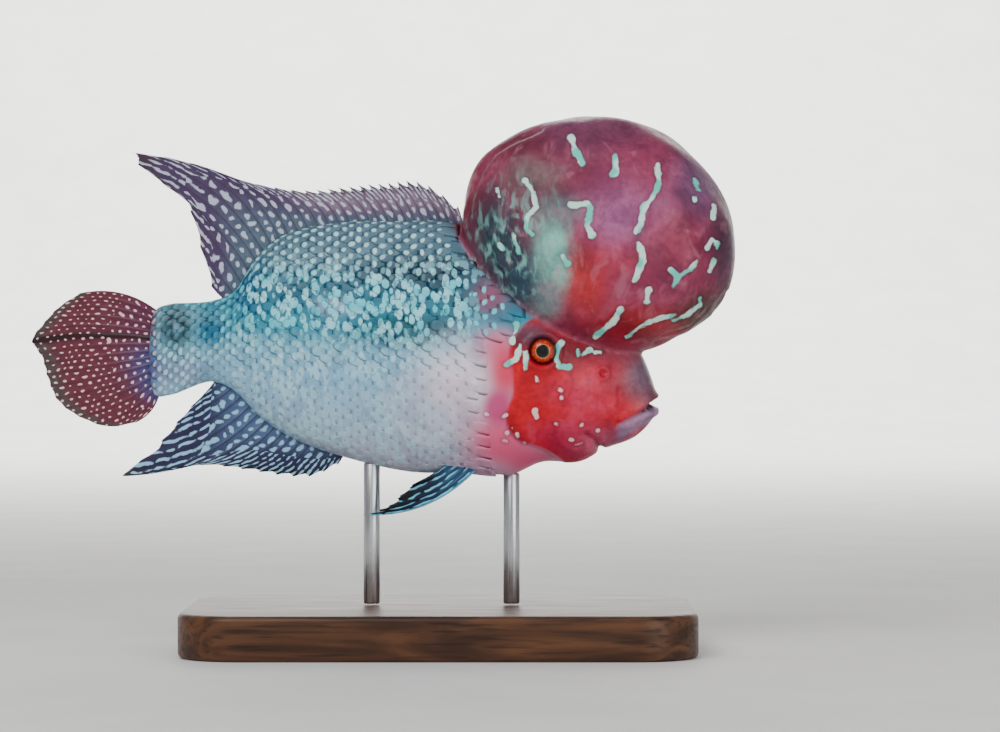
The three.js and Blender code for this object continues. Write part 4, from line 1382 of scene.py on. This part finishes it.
eye_look = eye_material()
for side_name, side in (("right", -1), ("left", 1)):
    tilt = np.linspace(0.02, np.pi - 0.02, 48)[:, None]
    turn = np.linspace(0, 2 * np.pi, 64, endpoint=False)[None, :]
    flat = 1 - 0.1 * np.exp(-((tilt / 0.35) ** 2))
    centre_y = side * (flank(np.array([EYE_X]), np.array([EYE_Z]))[0] - EYE_RADIUS + EYE_OUT)
    radius = EYE_RADIUS - 0.05
    ball = np.stack([
        EYE_X + side * radius * np.sin(tilt) * np.cos(turn),
        centre_y + side * radius * flat * np.cos(tilt) + 0 * turn,
        EYE_Z + radius * np.sin(tilt) * np.sin(turn),
    ], axis=-1)
    eye = capped_grid(f"eye_{side_name}_ball", ball[::-1])
    seen = positions(eye.data)
    away = np.hypot(seen[:, 0] - EYE_X, seen[:, 2] - EYE_Z)
    away = np.where((seen[:, 1] - centre_y) * side > 0, away, EYE_RADIUS)
    give_value(eye.data, "from_axis", away)
    eye.data.materials.append(eye_look)
    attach(eye, BODY)
    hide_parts(f"eye_{side_name}")

# The display stand
# A flat walnut base with rounded edges, and two brushed steel rods that reach up to the belly.
BASE_HALF = (46.0, 28.0)
BASE_HEIGHT = 8.0
BASE_CORNER = 11.0
BASE_EDGE = 1.0
ROD_RADIUS = 1.5
ROD_BEVEL = 0.3
ROD_TAPER = (0.9, 1.0, 1.0, 0.9)
ROD_X = {"front": 13.0, "rear": -12.4}


def wood_material():
    """Walnut: long grain along X, with darker pores and a satin lacquer."""
    shader = Shader("walnut", Coat_Weight=0.1, Coat_Roughness=0.3, Specular_IOR_Level=0.2)
    stretched = shader.place((0.12, 1.0, 1.0))
    rings = shader.noise(stretched, 180, 4.0, 1.5)
    pores = shader.noise(shader.place((0.05, 1.0, 1.0)), 1400, 2.0)
    grain = shader.mix(shader.range(rings, 0.35, 0.65), paint(58, 36, 24), paint(96, 62, 40))
    grain = shader.mix(shader.range(pores, 0.55, 0.7, 0.0, 0.6), grain, paint(30, 18, 12))
    shader.feed("Base Color", grain)
    shader.feed("Roughness", shader.range(pores, 0.3, 0.7, 0.38, 0.52))
    shader.bump(pores, 0.0001, 0.4)
    return shader.material


def steel_material():
    """Stainless steel brushed along the rod."""
    shader = Shader("brushed steel", Metallic=1.0)
    lines = shader.noise(shader.place((1.0, 1.0, 0.02)), 3000, 2.0)
    tone = shader.mix(shader.range(lines, 0.3, 0.7), paint(178, 180, 184), paint(214, 215, 218))
    shader.feed("Base Color", tone)
    shader.feed("Roughness", shader.range(lines, 0.3, 0.7, 0.22, 0.36))
    shader.bump(lines, 0.00003, 0.3)
    return shader.material


def base_rings():
    """A rectangle with quarter-round corners, drawn in at the bottom and top by quarter-round edges."""
    corner = np.linspace(0, np.pi / 2, 14)
    plan = []
    for k, (sx, sy) in enumerate([(1, 1), (-1, 1), (-1, -1), (1, -1)]):
        angle = corner + k * np.pi / 2
        plan.append(np.stack([
            sx * (BASE_HALF[0] - BASE_CORNER) + BASE_CORNER * np.cos(angle),
            sy * (BASE_HALF[1] - BASE_CORNER) + BASE_CORNER * np.sin(angle),
        ], axis=-1))
    plan = np.concatenate(plan)
    bend = np.linspace(0, np.pi / 2, 6)
    inset = np.concatenate([BASE_EDGE * (1 - np.sin(bend)), BASE_EDGE * (1 - np.cos(bend))])
    height = np.concatenate([BASE_EDGE * (1 - np.cos(bend)), BASE_HEIGHT - BASE_EDGE * (1 - np.sin(bend))])
    scale = 1 - inset[:, None, None] / np.array(BASE_HALF)
    level = np.broadcast_to(height[:, None, None], (len(height), len(plan), 1))
    return np.concatenate([plan[None] * scale, level], axis=-1)


base = capped_grid("stand_base_plate", base_rings())
base.data.materials.append(wood_material())
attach(base, BODY)
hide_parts("stand_base")
steel_look = steel_material()
for name, x in ROD_X.items():
    low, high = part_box(f"stand_rod_{name}")
    foot, tip = low[2] / MM, high[2] / MM
    z = np.array([foot, foot + ROD_BEVEL, tip - ROD_BEVEL, tip])[:, None]
    r = ROD_RADIUS * np.array(ROD_TAPER)[:, None]
    turn = np.linspace(0, 2 * np.pi, 48, endpoint=False)[None, :]
    rings = np.stack([x + r * np.cos(turn), r * np.sin(turn), z + 0 * turn], axis=-1)
    pole = capped_grid(f"stand_rod_{name}_pole", rings)
    pole.data.materials.append(steel_look)
    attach(pole, BODY)
    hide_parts(f"stand_rod_{name}")

# The floor, lights and camera
# A pale seamless floor that curves up behind, and soft lamps; the camera looks level at the right
# flank, as the photograph does.
FLOOR_HALF_WIDTH = 3000.0
FLOOR_FRONT = -2500.0
FLOOR_BACK = 1400.0
FLOOR_BEND = 1200.0
FRAME_WIDTH = 1000 / PIXELS_PER_MM
SENSOR = 36.0


def floor_piece():
    """A flat strip that turns up through a quarter circle into a wall."""
    bend = np.linspace(0, np.pi / 2, 24)
    y = np.concatenate([[FLOOR_FRONT], FLOOR_BACK + FLOOR_BEND * np.sin(bend), [FLOOR_BACK + FLOOR_BEND]])
    z = np.concatenate([[0], FLOOR_BEND * (1 - np.cos(bend)), [3 * FLOOR_BEND]])
    x = np.array([-FLOOR_HALF_WIDTH, FLOOR_HALF_WIDTH])[:, None]
    points = np.stack([x + 0 * y, y + 0 * x, z + 0 * x], axis=-1)
    return mesh_object("floor", points.reshape(-1, 3), grid_faces(2, len(y)))


floor = floor_piece()
floor_look = Shader("pale floor", Roughness=0.75)
floor_grain = floor_look.noise(floor_look.place(), 30, 3.0)
floor_share = floor_look.range(floor_grain, 0.3, 0.7)
floor_look.feed("Base Color", floor_look.mix(floor_share, paint(222, 221, 218), paint(228, 227, 224)))
floor.data.materials.append(floor_look.material)

world = bpy.data.worlds.new("studio")
world.use_nodes = True
world.node_tree.nodes["Background"].inputs["Color"].default_value = (0.95, 0.97, 1.0, 1)
world.node_tree.nodes["Background"].inputs["Strength"].default_value = 0.4
bpy.context.scene.world = world


def lamp(name, place_mm, aim_mm, size_mm, watts):
    """A square soft lamp that looks at a point."""
    light = bpy.data.lights.new(name, "AREA")
    light.energy = watts
    light.size = size_mm * MM
    piece = bpy.data.objects.new(name, light)
    way = np.array(place_mm, float) - np.array(aim_mm, float)
    level = np.hypot(way[0], way[1])
    piece.location = np.array(place_mm) * MM
    piece.rotation_euler = (np.arctan2(level, way[2]), 0, np.arctan2(way[0], -way[1]))
    bpy.context.scene.collection.objects.link(piece)


MODEL_MIDDLE = (5, 0, 55)
lamp("key_lamp", (-250, -500, 520), MODEL_MIDDLE, 420, 3.6)
lamp("fill_lamp", (400, -480, 110), MODEL_MIDDLE, 400, 1.6)
lamp("backdrop_lamp", (0, 1250, 1500), (0, 2500, 600), 1400, 110.0)

camera_data = bpy.data.cameras.new("camera")
camera_data.sensor_width = SENSOR
camera_data.lens = SENSOR * CAMERA_DISTANCE / FRAME_WIDTH
camera_data.clip_end = 20.0
camera = bpy.data.objects.new("camera", camera_data)
centre_x, centre_z = at_pixel(FRAME_MIDDLE)
camera.location = (centre_x * MM, -CAMERA_DISTANCE * MM, centre_z * MM)
camera.rotation_euler = (np.pi / 2, 0, 0)
bpy.context.scene.collection.objects.link(camera)
bpy.context.scene.camera = camera
